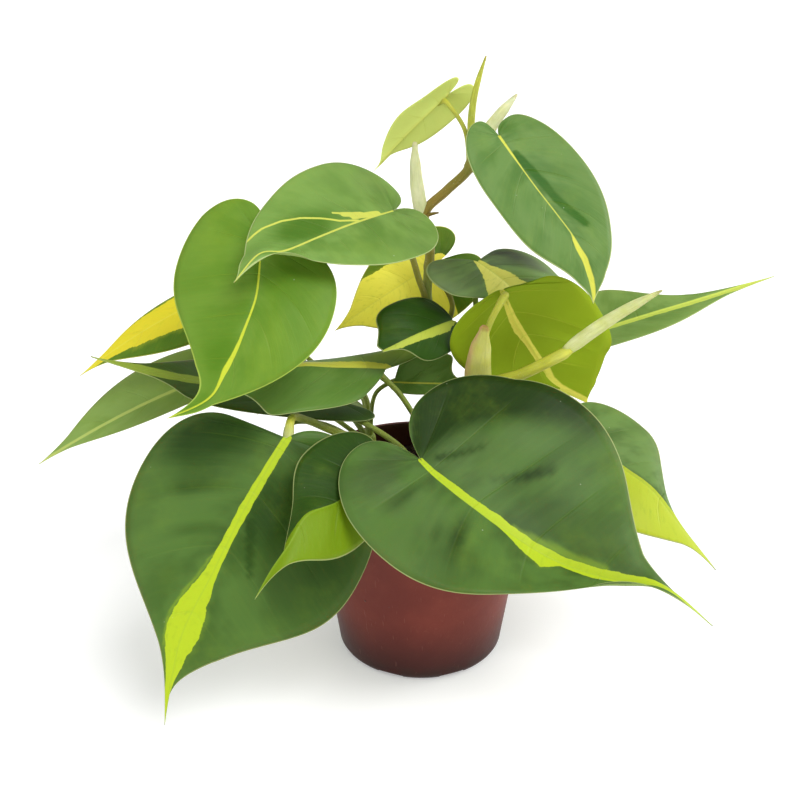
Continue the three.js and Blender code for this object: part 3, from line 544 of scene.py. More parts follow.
def nearness(leaf, measures, side, points):  # millimetres from a line of (along, across) corners
    here = np.stack([measures["along"] * measures["length"], measures["out"]], axis=-1)
    corners = np.array(points, float) * (measures["length"], 1)
    gaps = []
    for a, b in zip(corners, corners[1:]):
        t = np.clip(np.sum((here - a) * (b - a), axis=-1) / np.sum((b - a) ** 2), 0, 1)
        gaps.append(np.linalg.norm(here - a - t[..., None] * (b - a), axis=-1))
    return np.where(measures["left"] == (side < 0), np.min(gaps, axis=0), 99)


def lightField(leaf, u, v, measures):  # millimetres inside the light streak, a spike or a mark
    left = measures["left"]
    table = np.array(leaf["streak"], float)
    share = np.clip(measures["along"], 0, 1)
    width = np.where(left, np.interp(share, table[:, 0], table[:, 2]),
                     np.interp(share, table[:, 0], table[:, 1]))
    field = width - measures["reach"]
    ragged = np.clip(0.12 + 0.25 * np.maximum(width - 0.8, 0), 0, 1.0)
    for side, centre, outer, broad in leaf.get("spikes", []):
        spike = (broad * (1 - np.abs(v) / outer) - np.abs(u - centre)) * 120
        spike = np.where(left == (side < 0), spike, -50)
        ragged = np.where(spike > field, 0.5, ragged)
        field = np.maximum(field, spike)
    for side, points, broad in leaf.get("marks", []):
        mark = broad - nearness(leaf, measures, side, points)
        ragged = np.where(mark > field, 0.1, ragged)
        field = np.maximum(field, mark)
    return field, ragged


def deepAndShadedField(leaf, u, v, measures):  # above 0 for deeper green and painted shade, below 0 for paler green and painted sheen
    deep = np.zeros(u.shape)
    for side, centreU, centreV, broadU, broadV, amount in leaf.get("shadeAndSheen", []):
        inside = np.exp(-((u - centreU) / broadU) ** 2 - ((np.abs(v) - centreV) / broadV) ** 2)
        deep += np.where(measures["left"] == (side < 0), amount * inside, 0)
    for side, points, broad, amount in leaf.get("flames", []):
        deep += amount * np.exp(-(nearness(leaf, measures, side, points) / broad) ** 4)
    return deep


def leafPiece(name, leaf, seed):
    rows, columns = blade["rows"], leaf.get("columns", blade["columns"])
    steps = np.arange(-columns, columns + 1) / columns
    u, v = np.meshgrid(np.linspace(0, 1, rows + 1), np.sign(steps) * np.abs(steps) ** blade["crowding"],
                       indexing="ij")
    place, facing, measures = bladeGrid(leaf, u, v)
    light, ragged = lightField(leaf, u, v, measures)
    middle = np.sin(math.pi * np.abs(v) ** 0.8)
    between = np.abs(np.mod(u * leaf["veins"], 1) - 0.5) * 2
    scale = min(1, sum(leaf["half"]) / 60)
    quilt = blade["quilt"] * scale * (between ** 0.6 - 0.7) * middle * np.minimum(1, 6 * (1 - u))
    quilt = quilt * np.minimum(1, measures["reach"] / 5)
    phase = 2 * math.pi * (2.3 * u + 0.37 * seed + (v < 0))
    wave = blade["wave"] * scale * np.abs(v) ** 3 * np.sin(phase)
    swell = [noise.noise(Vector(p * 0.05) + Vector((seed, 0, 0))) for p in place.reshape(-1, 3)]
    still = np.minimum(1, measures["reach"] / 9) * np.minimum(1, measures["rim"] / 4)
    lift = quilt + wave * (1 - u) + blade["swell"] * scale * np.reshape(swell, u.shape) * still
    tipward = np.clip(1 - measures["along"], 0.1, 1)
    rib = np.exp(-(measures["reach"] / 0.8) ** 2) * tipward ** 0.5
    half = blade["thickness"] / 2 * (1 - 0.6 * np.abs(v) ** 8)
    top = place + facing * (lift + half - blade["groove"] * rib)[..., None]
    ridge = blade["ridge"] * scale ** 0.5 * np.exp(-(measures["reach"] / 0.65) ** 2) * tipward ** 0.6
    vein = blade["vein"] * np.exp(-((between * 0.5 * 60 / leaf["veins"]) / 0.5) ** 2) * middle
    under = place + facing * (lift - half - ridge - vein)[..., None]

    wide = 2 * columns + 1
    at = lambda i, j: i * wide + j
    below = (rows + 1) * wide
    faces = []
    for i in range(rows):
        for j in range(2 * columns):
            a, b, c, d = at(i, j), at(i, j + 1), at(i + 1, j + 1), at(i + 1, j)
            faces += [(a, b, c, d), (below + d, below + c, below + b, below + a)]
        for j, turn in ((0, 1), (2 * columns, -1)):
            a, b = at(i, j), at(i + 1, j)
            faces.append((a, b, below + b, below + a)[::turn])
    verts = np.concatenate([top.reshape(-1, 3), under.reshape(-1, 3)])
    double = lambda values: np.tile(np.asarray(values).ravel(), 2)
    # the deep attribute carries painted shade and sheen from the shade patches, besides the flames
    fields = dict(u=double(u), v=double(v), light=double(light), ragged=double(ragged),
                  deep=double(deepAndShadedField(leaf, u, v, measures)), under=np.repeat([0.0, 1.0], u.size),
                  **{key: double(measures[key]) for key in ("along", "reach", "rim")})
    material = leafFinish(name, leaf, seed)
    return addMesh(name.replace("leaf_", "blade_"), verts, faces, fields, name, "leaf_" + leaf["look"],
                   material, merge=0.004)


def leafFinish(name, leaf, seed):
    tints = {key: leaf.get(key, usual) for key, usual in leafColours[leaf["look"]].items()}
    tone = {key: colour(*value) for key, value in tints.items()}

    def surface(w):
        u, v, along, rim = (w.field(key) for key in ("u", "v", "along", "rim"))
        reach, under = w.field("reach"), w.field("under")
        inner = v.size()
        place = w.place()
        flow = w.joined(u * 30, v * 2.2, seed)
        jag = w.noise(flow, 1.0, 5.0, 0.65)
        lit = (w.field("light") + (jag - 0.5) * w.field("ragged") * 3).smooth(-0.14, 0.14)
        halo = (w.field("light") + (jag - 0.5) * 6).smooth(-2.2, 0.5)
        halo = halo * w.field("ragged").smooth(0.5, 1.4)
        dark = w.noise(w.joined(u * 9, v * 1.2, seed + 7), 1.0, 3.0, 0.5).smooth(0.4, 0.62)
        mottle = w.noise(place, 55.0, 4.0, 0.6)
        fine = w.noise(place, 800.0, 2.0, 0.5)
        # the deep field is partly painted shade, mixed in with the shade colour, and partly painted
        # sheen, mixed in with the paler tint
        deep = w.field("deep") * (0.75 + jag * 0.5)
        body = w.layered(
            tone["ground"], (tone["shade"], dark * (1 - 0.6 * inner) * 0.6),
            (tone["shade"], deep.smooth(0.02, 1.0)), (tone["tint"], deep.smooth(-0.05, -1.4) * 0.8),
            (tone["tint"], mottle.smooth(0.5, 0.8) * 0.16), (tone["tint"], halo * 0.5))
        if leaf.get("greySheen"):
            # a grey painted sheen near the notch, weaker where the green is deep
            greySheenMask = along.smooth(0.42, -0.1) * w.noise(place, 60.0, 2.0).smooth(0.3, 0.7)
            greySheenMask = greySheenMask * deep.smooth(0.8, 0.1)
            body = w.mix(body, colour(*blade["greySheenTint"]), greySheenMask * leaf["greySheen"] * 0.7)
        pale = w.mix(tone["light"], tone["tint"], w.noise(flow, 2.0, 3.0).smooth(0.5, 0.85) * 0.4)
        veinLine = u.line(leaf["veins"], 0.03) * inner.smooth(0.95, 0.4) * (1 - u.smooth(0.88, 0.97))
        stripes = w.noise(w.joined(u * 90, v * 1.2, seed), 1.0, 2.0).smooth(0.42, 0.7)
        thread = reach.smooth(0.42, 0.12) * (1 - lit * 0.6)
        specks = w.dots(place, 260.0, 0.08, 0.05) * w.noise(place, 160.0, 1.0).smooth(0.62, 0.68)
        body = w.layered(
            body, (pale, lit), (tone["rib"], veinLine * 0.05 + stripes * 0.02),
            (tone["rib"], thread * 0.6), (tone["edge"], rim.smooth(0.42, 0.12) * 0.8),
            (colour(*blade["speckTint"]), specks * 0.4))
        back = w.layered(
            tone["back"], (pale, lit * 0.8), (tone["rib"], veinLine * 0.4 + thread * 0.7),
            (tone["tint"], mottle.smooth(0.4, 0.8) * 0.25))
        height = stripes * 0.05 - veinLine * 0.3 + mottle * 0.5 + fine * 0.05
        rough = 0.4 + mottle * 0.12 + under * 0.16
        return {"Base Color": w.mix(body, back, under), "Roughness": rough,
                "Normal": w.bump(height, 0.0004)}

    return finish(name + "_finish", surface, Subsurface_Weight=0.06, Subsurface_Scale=0.002,
                  Specular_IOR_Level=blade["shine"])


for index, (name, leaf) in enumerate(leaves.items()):
    leafPiece(name, leaf, index + 1)
print("leaves made:", len(leaves))


# stems, petioles and shoots

rootEnd = 45
vines = {
    "vine_tall": dict(
        stem=[(4, 13, rootEnd), (4, 13, 70), (5, 16, 100), (2, 17, 143), (3, 17, 166), (1, 16, 178),
              (9, 14, 187), (17, 11, 196), (19, 10, 205)],
        browning=[(150, 0.15), (172, 1.0), (200, 0.6)],
        brownPetioles=("leaf_top_left", "leaf_small_centre"),
        petioleTones={"leaf_crown_young": (0.56, 0.56), "leaf_back_centre": (0.45, 0.45)},
        petioles={
            "leaf_centre_left": [(4, 13, 84), (-2, 6, 97), (-9, 2, 110)],
            "leaf_top_left": [(2, 17, 143), (-1, 13, 152), (-5, 7, 166)],
            "leaf_small_centre": [(3, 17, 157), (8, 17, 150), (12, 16, 141)],
            "leaf_back_centre": [(4, 16, 116), (8, 34, 120), (12, 50, 138)],
            "leaf_crown_young": [(17, 11, 197), (15, 12, 210)],
            "leaf_crown_right": [(17, 11, 197), (22, 13, 204)],
            "leaf_rear_middle": [(4, 13, 80), (14, 34, 92)],
        },
        shoots=[
            dict(start=(17.5, 10, 202), end=(22, 10, 236), width=2.8, depth=2.6, point=0.9,
                 form="rolled", bow=0.06),
            dict(start=(18, 12, 200), end=(34, 15, 222), width=5, depth=2.4, point=1, form="sheath"),
            dict(start=(0, 16, 176), end=(-3, 14, 205), width=5.6, depth=3, point=2.4, form="sheath"),
            dict(start=(1, 15, 177), end=(6, 12, 179), width=1.4, depth=1.4, point=0.8, form="root"),
        ]),
    "vine_right": dict(
        stem=[(22, 6, rootEnd), (22, 6, 70), (23, 3, 92), (25, -2, 114), (38, -8, 122), (55, -14, 134)],
        yellowing=[(100, 0.3), (116, 0.6), (134, 0.68)], swell=0.12,
        petioleTones={"leaf_bright_right": (0.54, 0.6)},
        petioles={
            "leaf_bright_right": [(24, -1, 108), (22, -7, 128), (25, -7, 142)],
            "leaf_centre_right": [(23, 3, 98), (22, 14, 122), (21, 17, 144)],
            "leaf_far_right": [(22, 5, 92), (38, 18, 106), (54, 27, 114)],
        },
        shoots=[
            dict(start=(53, -13, 133), end=(84, -24, 160), width=5.2, depth=3, point=1, form="sheath",
                 tone=0.88),
            dict(start=(21.8, -3, 108), end=(22.5, -16, 144), width=10.5, depth=4.4, point=4,
                 form="blunt"),
        ]),
    "vine_front": dict(
        stem=[(12, -12, rootEnd), (12, -12, 70), (13, -14, 84)],
        petioles={
            "leaf_front_right": [(12, -13, 76), (10, -28, 92), (3, -42, 97)],
            "leaf_low_right": [(12, -13, 74), (34, -10, 88), (52, -6, 92)],
        }),
    "vine_left": dict(
        stem=[(-2, -4, rootEnd), (-2, -4, 70), (-3, -4, 82)],
        petioleTones={"leaf_front_left": (0.42, 0.84)},
        petioles={
            "leaf_front_left": [(-2, -4, 76), (-20, -2, 90), (-34, -8, 98), (-43, -18, 107),
                                (-48, -30, 113)],
            "leaf_front_middle": [(-2, -5, 74), (-10, -26, 90)],
            "leaf_wide_left": [(-3, -4, 79), (-7, 2, 85), (-23, 7, 95)],
        }),
    "vine_back": dict(
        stem=[(-20, 22, rootEnd), (-20, 22, 70), (-21, 22, 84)],
        petioles={
            "leaf_inner_centre": [(-21, 22, 80), (-18, 17, 104)],
            "leaf_upper_left": [(-21, 22, 82), (-24, 26, 100), (-44, 24, 110), (-56, 12, 140),
                                (-59, -2, 165)],
            "leaf_far_left": [(-20, 22, 78), (-46, 32, 92), (-76, 34, 100)],
            "leaf_back_left": [(-21, 22, 80), (-26, 38, 96), (-46, 46, 106), (-61, 46, 124),
                               (-72, 43, 138)],
            "leaf_rear_left": [(-20, 22, 78), (-32, 36, 88)],
            "leaf_low_left": [(-20, 22, 76), (-40, 8, 94), (-52, -2, 98)],
        }),
}
usualVine = dict(yellowing=[(0, 0.32)], browning=[(0, 0.05)], swell=-0.12, petioleTones={},
                 brownPetioles=(), shoots=[])
stalk = dict(stem=2.0, petiole=1.15, joint=1.45, sides=20, finest=1.0)
toneOf = {"rolled": 0.56, "sheath": 0.95, "blunt": 0.76, "root": 0.1}


def smoothPath(points, spacing):  # a centripetal curve through the points
    points = [np.array(point, float) for point in points]
    ends = [2 * points[0] - points[1], *points, 2 * points[-1] - points[-2]]
    path = []
    for p0, p1, p2, p3 in zip(ends, ends[1:], ends[2:], ends[3:]):
        gaps = [max(np.linalg.norm(b - a) ** 0.5, 0.01) for a, b in ((p0, p1), (p1, p2), (p2, p3))]
        start = ((p1 - p0) / gaps[0] - (p2 - p0) / (gaps[0] + gaps[1]) + (p2 - p1) / gaps[1]) * gaps[1]
        end = ((p2 - p1) / gaps[1] - (p3 - p1) / (gaps[1] + gaps[2]) + (p3 - p2) / gaps[2]) * gaps[1]
        count = max(3, round(np.linalg.norm(p2 - p1) / spacing))
        for t in np.arange(count) / count:
            path.append(p1 + start * t + (3 * (p2 - p1) - 2 * start - end) * t ** 2
                        + (2 * (p1 - p2) + start + end) * t ** 3)
    return np.array(path + [points[-1]])


def tube(path, radius, sides, squash=1.0, shape=None):  # radius(share) and shape(share, angle) vary it
    forward = unit(np.gradient(path, axis=0))
    run = travelled(path)
    across = unit(np.cross(forward[0], [0.3, 1, 0.2]))
    rings, around = [], np.arange(sides) / sides * 2 * math.pi
    for k, centre in enumerate(path):
        across = unit(across - forward[k] * (across @ forward[k]))
        other = np.cross(forward[k], across)
        share = run[k] / run[-1]
        size = radius(share) * (shape(share, around) if shape else np.ones(sides))
        rings.append(centre + np.outer(size * np.cos(around), across)
                     + np.outer(squash * size * np.sin(around), other))
    verts = np.concatenate([*rings, path[:1], path[-1:]])
    faces = ringFaces(len(path), sides)
    first, last = len(verts) - 2, len(verts) - 1
    for s in range(sides):
        after = (s + 1) % sides
        faces.append((after, s, first))
        faces.append(((len(path) - 1) * sides + s, (len(path) - 1) * sides + after, last))
    share = np.concatenate([np.repeat(run / run[-1], sides), [0, 1]])
    angle = np.concatenate([np.tile(around, len(path)), [0, 0]])
    return verts, faces, share, angle


def petiolePath(points, leaf):  # ends under the midrib, where it runs on as the ridge
    rib = midribOf(leaf)
    share = np.array([0.0, 0.05, 0.12])
    point, forward, normal = onMidrib(rib, share)
    point = point + bent(leaf, share, share * 0, share)
    near = point[0] + forward[0] * 0.4
    ends = [near - normal[0] * 4, point[1] - normal[1] * 1.8, point[2] - normal[2] * 1.4]
    return smoothPath([*points, *ends], stalk["finest"])


def petioleRadius(big):
    def radius(share):
        swollen = math.exp(-((share - 0.84) / 0.06) ** 2) * (stalk["joint"] - stalk["petiole"])
        base = 0.5 * math.exp(-(share / 0.06) ** 2)
        taper = 1 if share < 0.9 else 1 - 0.8 * (share - 0.9) / 0.1
        return (stalk["petiole"] + base + swollen) * taper * big
    return radius


def shootPart(shoot):
    start, end = np.array(shoot["start"], float), np.array(shoot["end"], float)
    length = np.linalg.norm(end - start)
    side = unit(np.cross(end - start, [0, 1, 0]))
    t = np.linspace(0, 1, 30)
    bow = shoot.get("bow", 0.03) * length * np.sin(math.pi * t)
    path = start + np.outer(t, end - start) + np.outer(bow, side)
    wide, point = shoot["width"] / 2, shoot["point"] / 2

    def radius(share):
        body = np.interp(share, [0, 0.12, 0.4, 0.75, 0.95, 1], [0.75, 1, 0.98, 0.72, 0.3, 0.12])
        return max(wide * body, point * (0.9 if share < 0.985 else 0.5))

    def rolled(share, around):
        return 0.92 + 0.16 * np.mod(around / (2 * math.pi) + 0.35 * share, 1)

    def keeled(share, around):
        keel = np.exp(-((around - math.pi * 1.5) / 0.16) ** 2)
        return 0.95 + 0.07 * np.cos(2 * around) ** 5 - 0.12 * keel

    shape = {"rolled": rolled, "sheath": keeled, "blunt": keeled, "root": None}[shoot["form"]]
    return tube(path, radius, 32, shoot["depth"] / shoot["width"], shape)


def vinePiece(name, vine):
    vine = {**usualVine, **vine}  # what a vine doesn't say is as usual
    parts = []
    fields = {key: [] for key in ("share", "angle", "tone", "brown", "blush")}

    def add(part, tone, brown, blush=0.0):
        verts, faces, share, angle = part
        parts.append((verts, faces))
        for key, values in zip(fields, (share, angle, tone, brown, blush)):
            fields[key].append(np.broadcast_to(values, len(verts)))

    joints = [np.array(points[0], float) for points in vine["petioles"].values()]
    path = smoothPath(vine["stem"], stalk["finest"])
    run = travelled(path)
    nodes = [run[np.argmin(np.linalg.norm(path - joint, axis=1))] for joint in joints]

    def stemRadius(share):
        here = share * run[-1]
        rings = sum(0.35 * math.exp(-((here - at) / 1.6) ** 2) for at in nodes)
        end = 1 if share < 0.97 else 1 - 0.5 * (share - 0.97) / 0.03
        girth = stalk["stem"] * (1 + vine["swell"] * share)
        return (girth + min(rings, 0.5)) * end

    part = tube(path, stemRadius, stalk["sides"])
    height = part[0][:, 2]
    tone, brown = (np.interp(height, *zip(*vine[key])) for key in ("yellowing", "browning"))
    add(part, tone, brown)
    for target, points in vine["petioles"].items():
        leaf = leaves[target]
        big = np.interp(sum(leaf["half"]), [12, 40, 90], [0.72, 1.0, 1.25])
        brown = 0.5 if target in vine["brownPetioles"] else 0.06
        part = tube(petiolePath(points, leaf), petioleRadius(big), 16)
        tones = vine["petioleTones"].get(target, (0.36, 0.36))
        add(part, np.interp(part[2], [0.7, 0.85], tones), brown)
    for shoot in vine["shoots"]:
        part = shootPart(shoot)
        blunt = shoot["form"] == "blunt"
        tip = 0.9 if blunt else 0.35
        brown = tip * np.clip((part[2] - 0.93) / 0.05, 0, 1) + 0.2 * blunt
        brown = 0.8 if shoot["form"] == "root" else brown
        add(part, shoot.get("tone", toneOf[shoot["form"]]), brown, 0.8 * blunt)
    verts, faces = gathered(parts)
    fields = {key: np.concatenate(values) for key, values in fields.items()}
    return addMesh(name.replace("vine_", "stems_"), verts, faces, fields, name, "stem", stemMaterial)


stemLook = dict(tones=[(0, (104, 120, 36)), (0.35, (136, 156, 56)), (0.65, (206, 208, 62)),
                       (0.85, (212, 218, 132)), (1, (234, 236, 190))],
                lines=(96, 120, 44), brown=(156, 106, 24), flecks=(206, 206, 168),
                blush=(226, 160, 132))


def stemSurface(w):
    place, tone, brown = w.place(), w.field("tone"), w.field("brown")
    angle, share = w.field("angle"), w.field("share")
    mottle = w.noise(place, 160.0, 3.0)
    body = w.ramp(stemLook["tones"], tone + (mottle - 0.5) * 0.25)
    lines = w.noise(w.joined(angle * 5, share * 3, tone * 9), 2.0, 3.0).smooth(0.4, 0.7)
    blush = w.field("blush") * w.math("COSINE", angle + 0.5).smooth(-0.3, 0.8)
    body = w.layered(
        body, (colour(*stemLook["lines"]), lines * (1 - tone * 0.7) * 0.3),
        (colour(*stemLook["brown"]), brown * (0.4 + mottle * 0.6)),
        (colour(*stemLook["flecks"]), w.dots(place, 700.0, 0.2, 0.1) * 0.25),
        (colour(*stemLook["blush"]), blush * (0.5 + lines * 0.4)))
    return {"Base Color": body, "Roughness": 0.42 + mottle * 0.2,
            "Normal": w.bump(lines * 0.6 + mottle * 0.4, 0.0002)}


stemMaterial = finish("stem_finish", stemSurface, Subsurface_Weight=0.08, Subsurface_Scale=0.002)
for name, vine in vines.items():
    vinePiece(name, vine)
print("stems made:", len(vines))


# pot

pot = dict(height=79, rimRadius=45, baseRadius=34, lip=1, lipHeight=5, wall=1.6, floor=2, edge=4,
           segments=192)
drain = dict(count=6, radius=3.5, ring=20)
foot = dict(count=8, width=11, height=2.2, depth=3)


# low and inside are painted shade: towards the bottom of the pot and on its inner wall
potLook = dict(dark=(102, 34, 22), light=(118, 46, 32), dust=(150, 84, 68), low=(42, 8, 5),
               inside=(44, 20, 14), scratch=(166, 108, 92), lowBlotches=(44, 28, 22), crumbs=(58, 36, 28),
               shine=0.22)
potSlope = (pot["rimRadius"] - pot["lip"] - pot["baseRadius"]) / pot["height"]


def innerRadius(height):
    return pot["baseRadius"] + potSlope * height - pot["wall"]


def turned(profile, segments):  # verts and faces of [radius, height] pairs turned about the axis
    verts = []
    for radius, height in profile:
        for s in range(segments):
            angle = s / segments * 2 * math.pi
            verts.append((radius * math.cos(angle), radius * math.sin(angle), height))
    return verts, ringFaces(len(profile), segments)


def potPiece():
    height, rim, base, edge = pot["height"], pot["rimRadius"], pot["baseRadius"], pot["edge"]
    under = height - pot["lipHeight"]
    profile = [(0, 0), (base - edge, 0)]
    for angle in np.radians(np.arange(10, 91, 10)):
        profile.append((base - edge + edge * math.sin(angle), edge - edge * math.cos(angle)))
    side = np.linspace(edge + 1, under - pot["lip"], 14)
    profile += [(np.interp(z, [edge, under - pot["lip"]], [base, rim - pot["lip"]]), z) for z in side]
    inside = innerRadius(height)
    profile += [(rim - 0.25, under - 0.3), (rim, under + 0.2), (rim, height - 0.7),
                (rim - 0.15, height - 0.25), (rim - 0.6, height), (inside + 0.25, height),
                (inside, height - 0.3)]
    profile += [(innerRadius(z), z) for z in np.linspace(height - 2, edge + 1, 10)]
    profile += [(base - edge - 2, pot["floor"]), (0, pot["floor"])]
    verts, faces = turned(profile, pot["segments"])
    piece = addMesh("pot_cup", verts, faces, {}, "pot", "pot_plastic", potMaterial, merge=0.001)
    cutters = []
    for k in range(drain["count"]):
        angle = k / drain["count"] * 2 * math.pi
        ring = [(-4, drain["radius"]), (4, drain["radius"])]
        holeVerts, holeFaces = turned([(0, -4), *[(r, z) for z, r in ring], (0, 4)], 32)
        centre = drain["ring"] * np.array([math.cos(angle), math.sin(angle), 0])
        cutters.append((np.array(holeVerts) + centre, holeFaces))
    box = np.array([(x, y, z) for z in (-1, 1) for x, y in ((-1, -1), (1, -1), (1, 1), (-1, 1))], float)
    boxFaces = [(3, 2, 1, 0), (4, 5, 6, 7), (0, 1, 5, 4), (1, 2, 6, 5), (2, 3, 7, 6), (3, 0, 4, 7)]
    for k in range(foot["count"]):
        angle = (k + 0.5) / foot["count"] * 2 * math.pi
        corner = box * (foot["depth"], foot["width"] / 2, foot["height"]) + (base, 0, 0)
        cutters.append((corner @ spun(angle), boxFaces))
    cutVerts, cutFaces = gathered(cutters)
    cutMesh = bpy.data.meshes.new("cutters")
    cutMesh.from_pydata((cutVerts * mm).tolist(), [], cutFaces)
    work = bmesh.new()
    work.from_mesh(cutMesh)
    bmesh.ops.remove_doubles(work, verts=work.verts, dist=0.001 * mm)
    bmesh.ops.recalc_face_normals(work, faces=work.faces)
    work.to_mesh(cutMesh)
    work.free()
    cutter = linked("cutters", cutMesh)
    cut = piece.modifiers.new("holes", "BOOLEAN")
    cut.object, cut.solver = cutter, "EXACT"
    bevel = piece.modifiers.new("edges", "BEVEL")
    bevel.width, bevel.segments = 0.15 * mm, 2
    bevel.limit_method, bevel.angle_limit = "ANGLE", math.radians(40)
    bpy.context.view_layer.update()
    done = bpy.data.meshes.new_from_object(piece.evaluated_get(bpy.context.evaluated_depsgraph_get()))
    piece.modifiers.clear()
    piece.data = done
    bpy.data.objects.remove(cutter)
    return piece


def potSurface(w):
    tone = {key: colour(*value) for key, value in potLook.items() if key != "shine"}
    place = w.place()
    across, deep, height = (part * 1000 for part in w.split(place))  # in millimetres
    cloud = w.noise(place, 28.0, 4.0)
    dust = w.noise(place, 420.0, 3.0, 0.7)
    wall = (across * across + deep * deep) ** 0.5 - height * potSlope
    # painted shade on the pot's inner wall
    inside = wall.smooth(pot["baseRadius"] - 0.6, pot["baseRadius"] - 1.1) * height.smooth(4, 6)
    stretched = w.node("VectorMath", {"operation": "MULTIPLY"}, {0: place, 1: (1, 1, 0.06)})
    scratch = w.noise(stretched, 900.0, 2.0).smooth(0.66, 0.74)
    # darker in blotches towards the bottom
    lowBlotches = height.smooth(9, 1) * w.noise(place, 120.0, 3.0).smooth(0.32, 0.6)
    crumbs = w.dots(place, 150.0, 0.1, 0.06) * w.noise(place, 90.0, 1.0).smooth(0.56, 0.64)
    body = w.layered(
        tone["dark"], (tone["light"], cloud.smooth(0.35, 0.7)),
        (tone["dust"], dust.smooth(0.55, 0.8) * cloud.smooth(0.4, 0.8) * 0.5),
        # painted shade: low darkens towards the bottom, inside darkens the inner wall
        (tone["low"], height.smooth(34, 3) * 0.85), (tone["inside"], inside * 0.9),
        (tone["scratch"], scratch * 0.1), (tone["lowBlotches"], lowBlotches * 0.85), (tone["crumbs"], crumbs * 0.9))
    rough = 0.36 + dust * 0.12 + cloud * 0.08
    return {"Base Color": body, "Roughness": rough,
            "Normal": w.bump(dust * 0.5 + crumbs * 1.2 - scratch * 0.4, 0.00012)}


potMaterial = finish("pot_finish", potSurface, Specular_IOR_Level=potLook["shine"])
potPiece()
print("pot made")


# soil

soil = dict(level=69, lowest=2.3, gap=0.35, rings=64, segments=150, bumps=1.1, grit=0.75,
            crumbs=1100, crumbSizes=(0.35, 1.6),
            tones=[(0, (22, 16, 13)), (0.5, (46, 34, 27)), (0.85, (70, 54, 42)), (1, (112, 92, 72))])


def soilHeight(x, y, top):
    inward = 1 - math.hypot(x, y) / top
    wave = math.sin(0.35 * x + 1) * math.cos(0.3 * y) + 0.5 * math.sin(0.9 * x) * math.sin(0.8 * y + 2)
    grit = noise.fractal(Vector((x * 0.45, y * 0.45, 3)), 0.8, 2.1, 5)
    return (soil["level"] + soil["bumps"] * wave * min(1, 4 * inward) * 0.8
            + soil["grit"] * grit * min(1, 10 * inward))


def soilPiece():
    top = innerRadius(soil["level"]) - soil["gap"]
    low = pot["edge"] + 1 + soil["gap"]
    segments = soil["segments"]
    sides = [(pot["baseRadius"] - pot["edge"] - 2 - soil["gap"], soil["lowest"]),
             (innerRadius(low) - soil["gap"], low)]
    profile = [(0, soil["lowest"]), *sides]
    profile += [(top * (1 - k / soil["rings"]), soil["level"]) for k in range(soil["rings"] + 1)]
    verts, faces = turned(profile, segments)
    verts = np.array(verts)
    for k in range(3 * segments, len(verts)):
        verts[k, 2] = soilHeight(verts[k, 0], verts[k, 1], top)
    parts, tones = [(verts, faces)], [np.full(len(verts), 0.35)]
    rng = random.Random(11)
    smallest, largest = soil["crumbSizes"]
    lump = bmesh.new()
    bmesh.ops.create_icosphere(lump, subdivisions=2, radius=1)
    lumpVerts = np.array([vert.co[:] for vert in lump.verts])
    lumpFaces = [[vert.index for vert in face.verts] for face in lump.faces]
    lump.free()
    for k in range(soil["crumbs"]):
        spread = math.sqrt(rng.random()) * (top - 0.8)
        angle = rng.random() * 2 * math.pi
        x, y = spread * math.cos(angle), spread * math.sin(angle)
        size = smallest + (largest - smallest) * rng.random() ** 2.5
        stretch = np.array([rng.uniform(0.6, 1.4), rng.uniform(0.6, 1.2), rng.uniform(0.5, 0.9)])
        shift = rng.random() * 50
        rough = np.array([1 + 0.4 * noise.noise(Vector(vert * 1.4) + Vector((shift, 0, 0)))
                          for vert in lumpVerts])
        shape = (lumpVerts * rough[:, None] * stretch * size) @ spun(rng.random() * math.pi)
        z = soilHeight(x, y, top) + size * 0.25
        parts.append((shape + (x, y, z), lumpFaces))
        tones.append(np.full(len(lumpVerts), rng.random()))
    verts, faces = gathered(parts)
    fields = {"tone": np.concatenate(tones)}
    return addMesh("soil_bed", verts, faces, fields, "soil", "soil", soilMaterial, merge=0.0005)


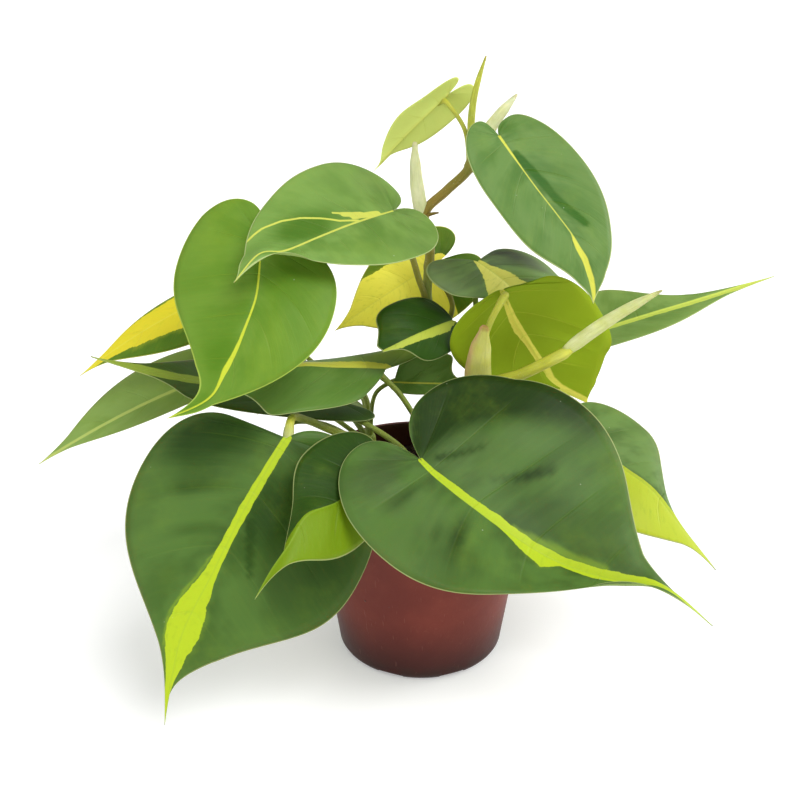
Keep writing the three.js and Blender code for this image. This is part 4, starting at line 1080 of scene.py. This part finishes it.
def soilSurface(w):
    place, tone = w.place(), w.field("tone")
    grain = w.noise(place, 900.0, 4.0, 0.7)
    body = w.ramp(soil["tones"], tone * 0.6 + grain * 0.45)
    return {"Base Color": body, "Roughness": 0.85 + grain * 0.12,
            "Normal": w.bump(grain, 0.0006)}


soilMaterial = finish("soil_finish", soilSurface, Specular_IOR_Level=0.2)
soilPiece()
print("soil made")


# stage, light and camera

view = dict(aim=(-8.5, 0, 107.8), down=23, distance=448, lens=51.75)
room = dict(floorReach=7, floorTone=0.8, floorGlow=0.3, surroundings=0.5)  # reach in metres
lamps = dict(key=dict(turn=38, rise=52, power=2.1, softness=30),
             fill=dict(turn=-60, rise=35, power=0.9, softness=50),
             side=dict(turn=105, rise=18, power=1.6, softness=40))


def stage():
    mesh = bpy.data.meshes.new("floor")
    reach = room["floorReach"]
    corners = [(-reach, -reach, 0), (reach, -reach, 0), (reach, reach, 0), (-reach, reach, 0)]
    mesh.from_pydata(corners, [], [(0, 1, 2, 3)])
    floor = linked("floor", mesh)
    mesh.materials.append(finish(
        "floor_finish", lambda w: {}, Base_Color=(*[room["floorTone"]] * 3, 1), Roughness=0.9,
        Specular_IOR_Level=0.0, Emission_Color=(1, 1, 1, 1), Emission_Strength=room["floorGlow"]))


def lamp(name, turn, rise, power, softness):  # turn to the viewer's right, rise above the floor
    data = bpy.data.lights.new(name, "SUN")
    data.energy, data.angle = power, math.radians(softness)
    linked(name, data).rotation_euler = (math.radians(90 - rise), 0, math.radians(turn))


def lights():
    for name, settings in lamps.items():
        lamp(name, **settings)
    world = bpy.data.worlds.new("room")
    world.use_nodes = True
    around = world.node_tree.nodes["Background"].inputs
    around["Color"].default_value = (1, 1, 1, 1)
    around["Strength"].default_value = room["surroundings"]
    bpy.context.scene.world = world
    bpy.context.scene.view_settings.view_transform = "Standard"


def camera():
    data = bpy.data.cameras.new("camera")
    data.lens, data.sensor_width = view["lens"], 36
    made = linked("camera", data)
    down = math.radians(view["down"])
    away = Vector((0, -math.cos(down), math.sin(down))) * view["distance"]
    made.location = (Vector(view["aim"]) + away) * mm
    made.rotation_euler = (math.pi / 2 - down, 0, 0)
    bpy.context.scene.camera = made


stage()
lights()
camera()
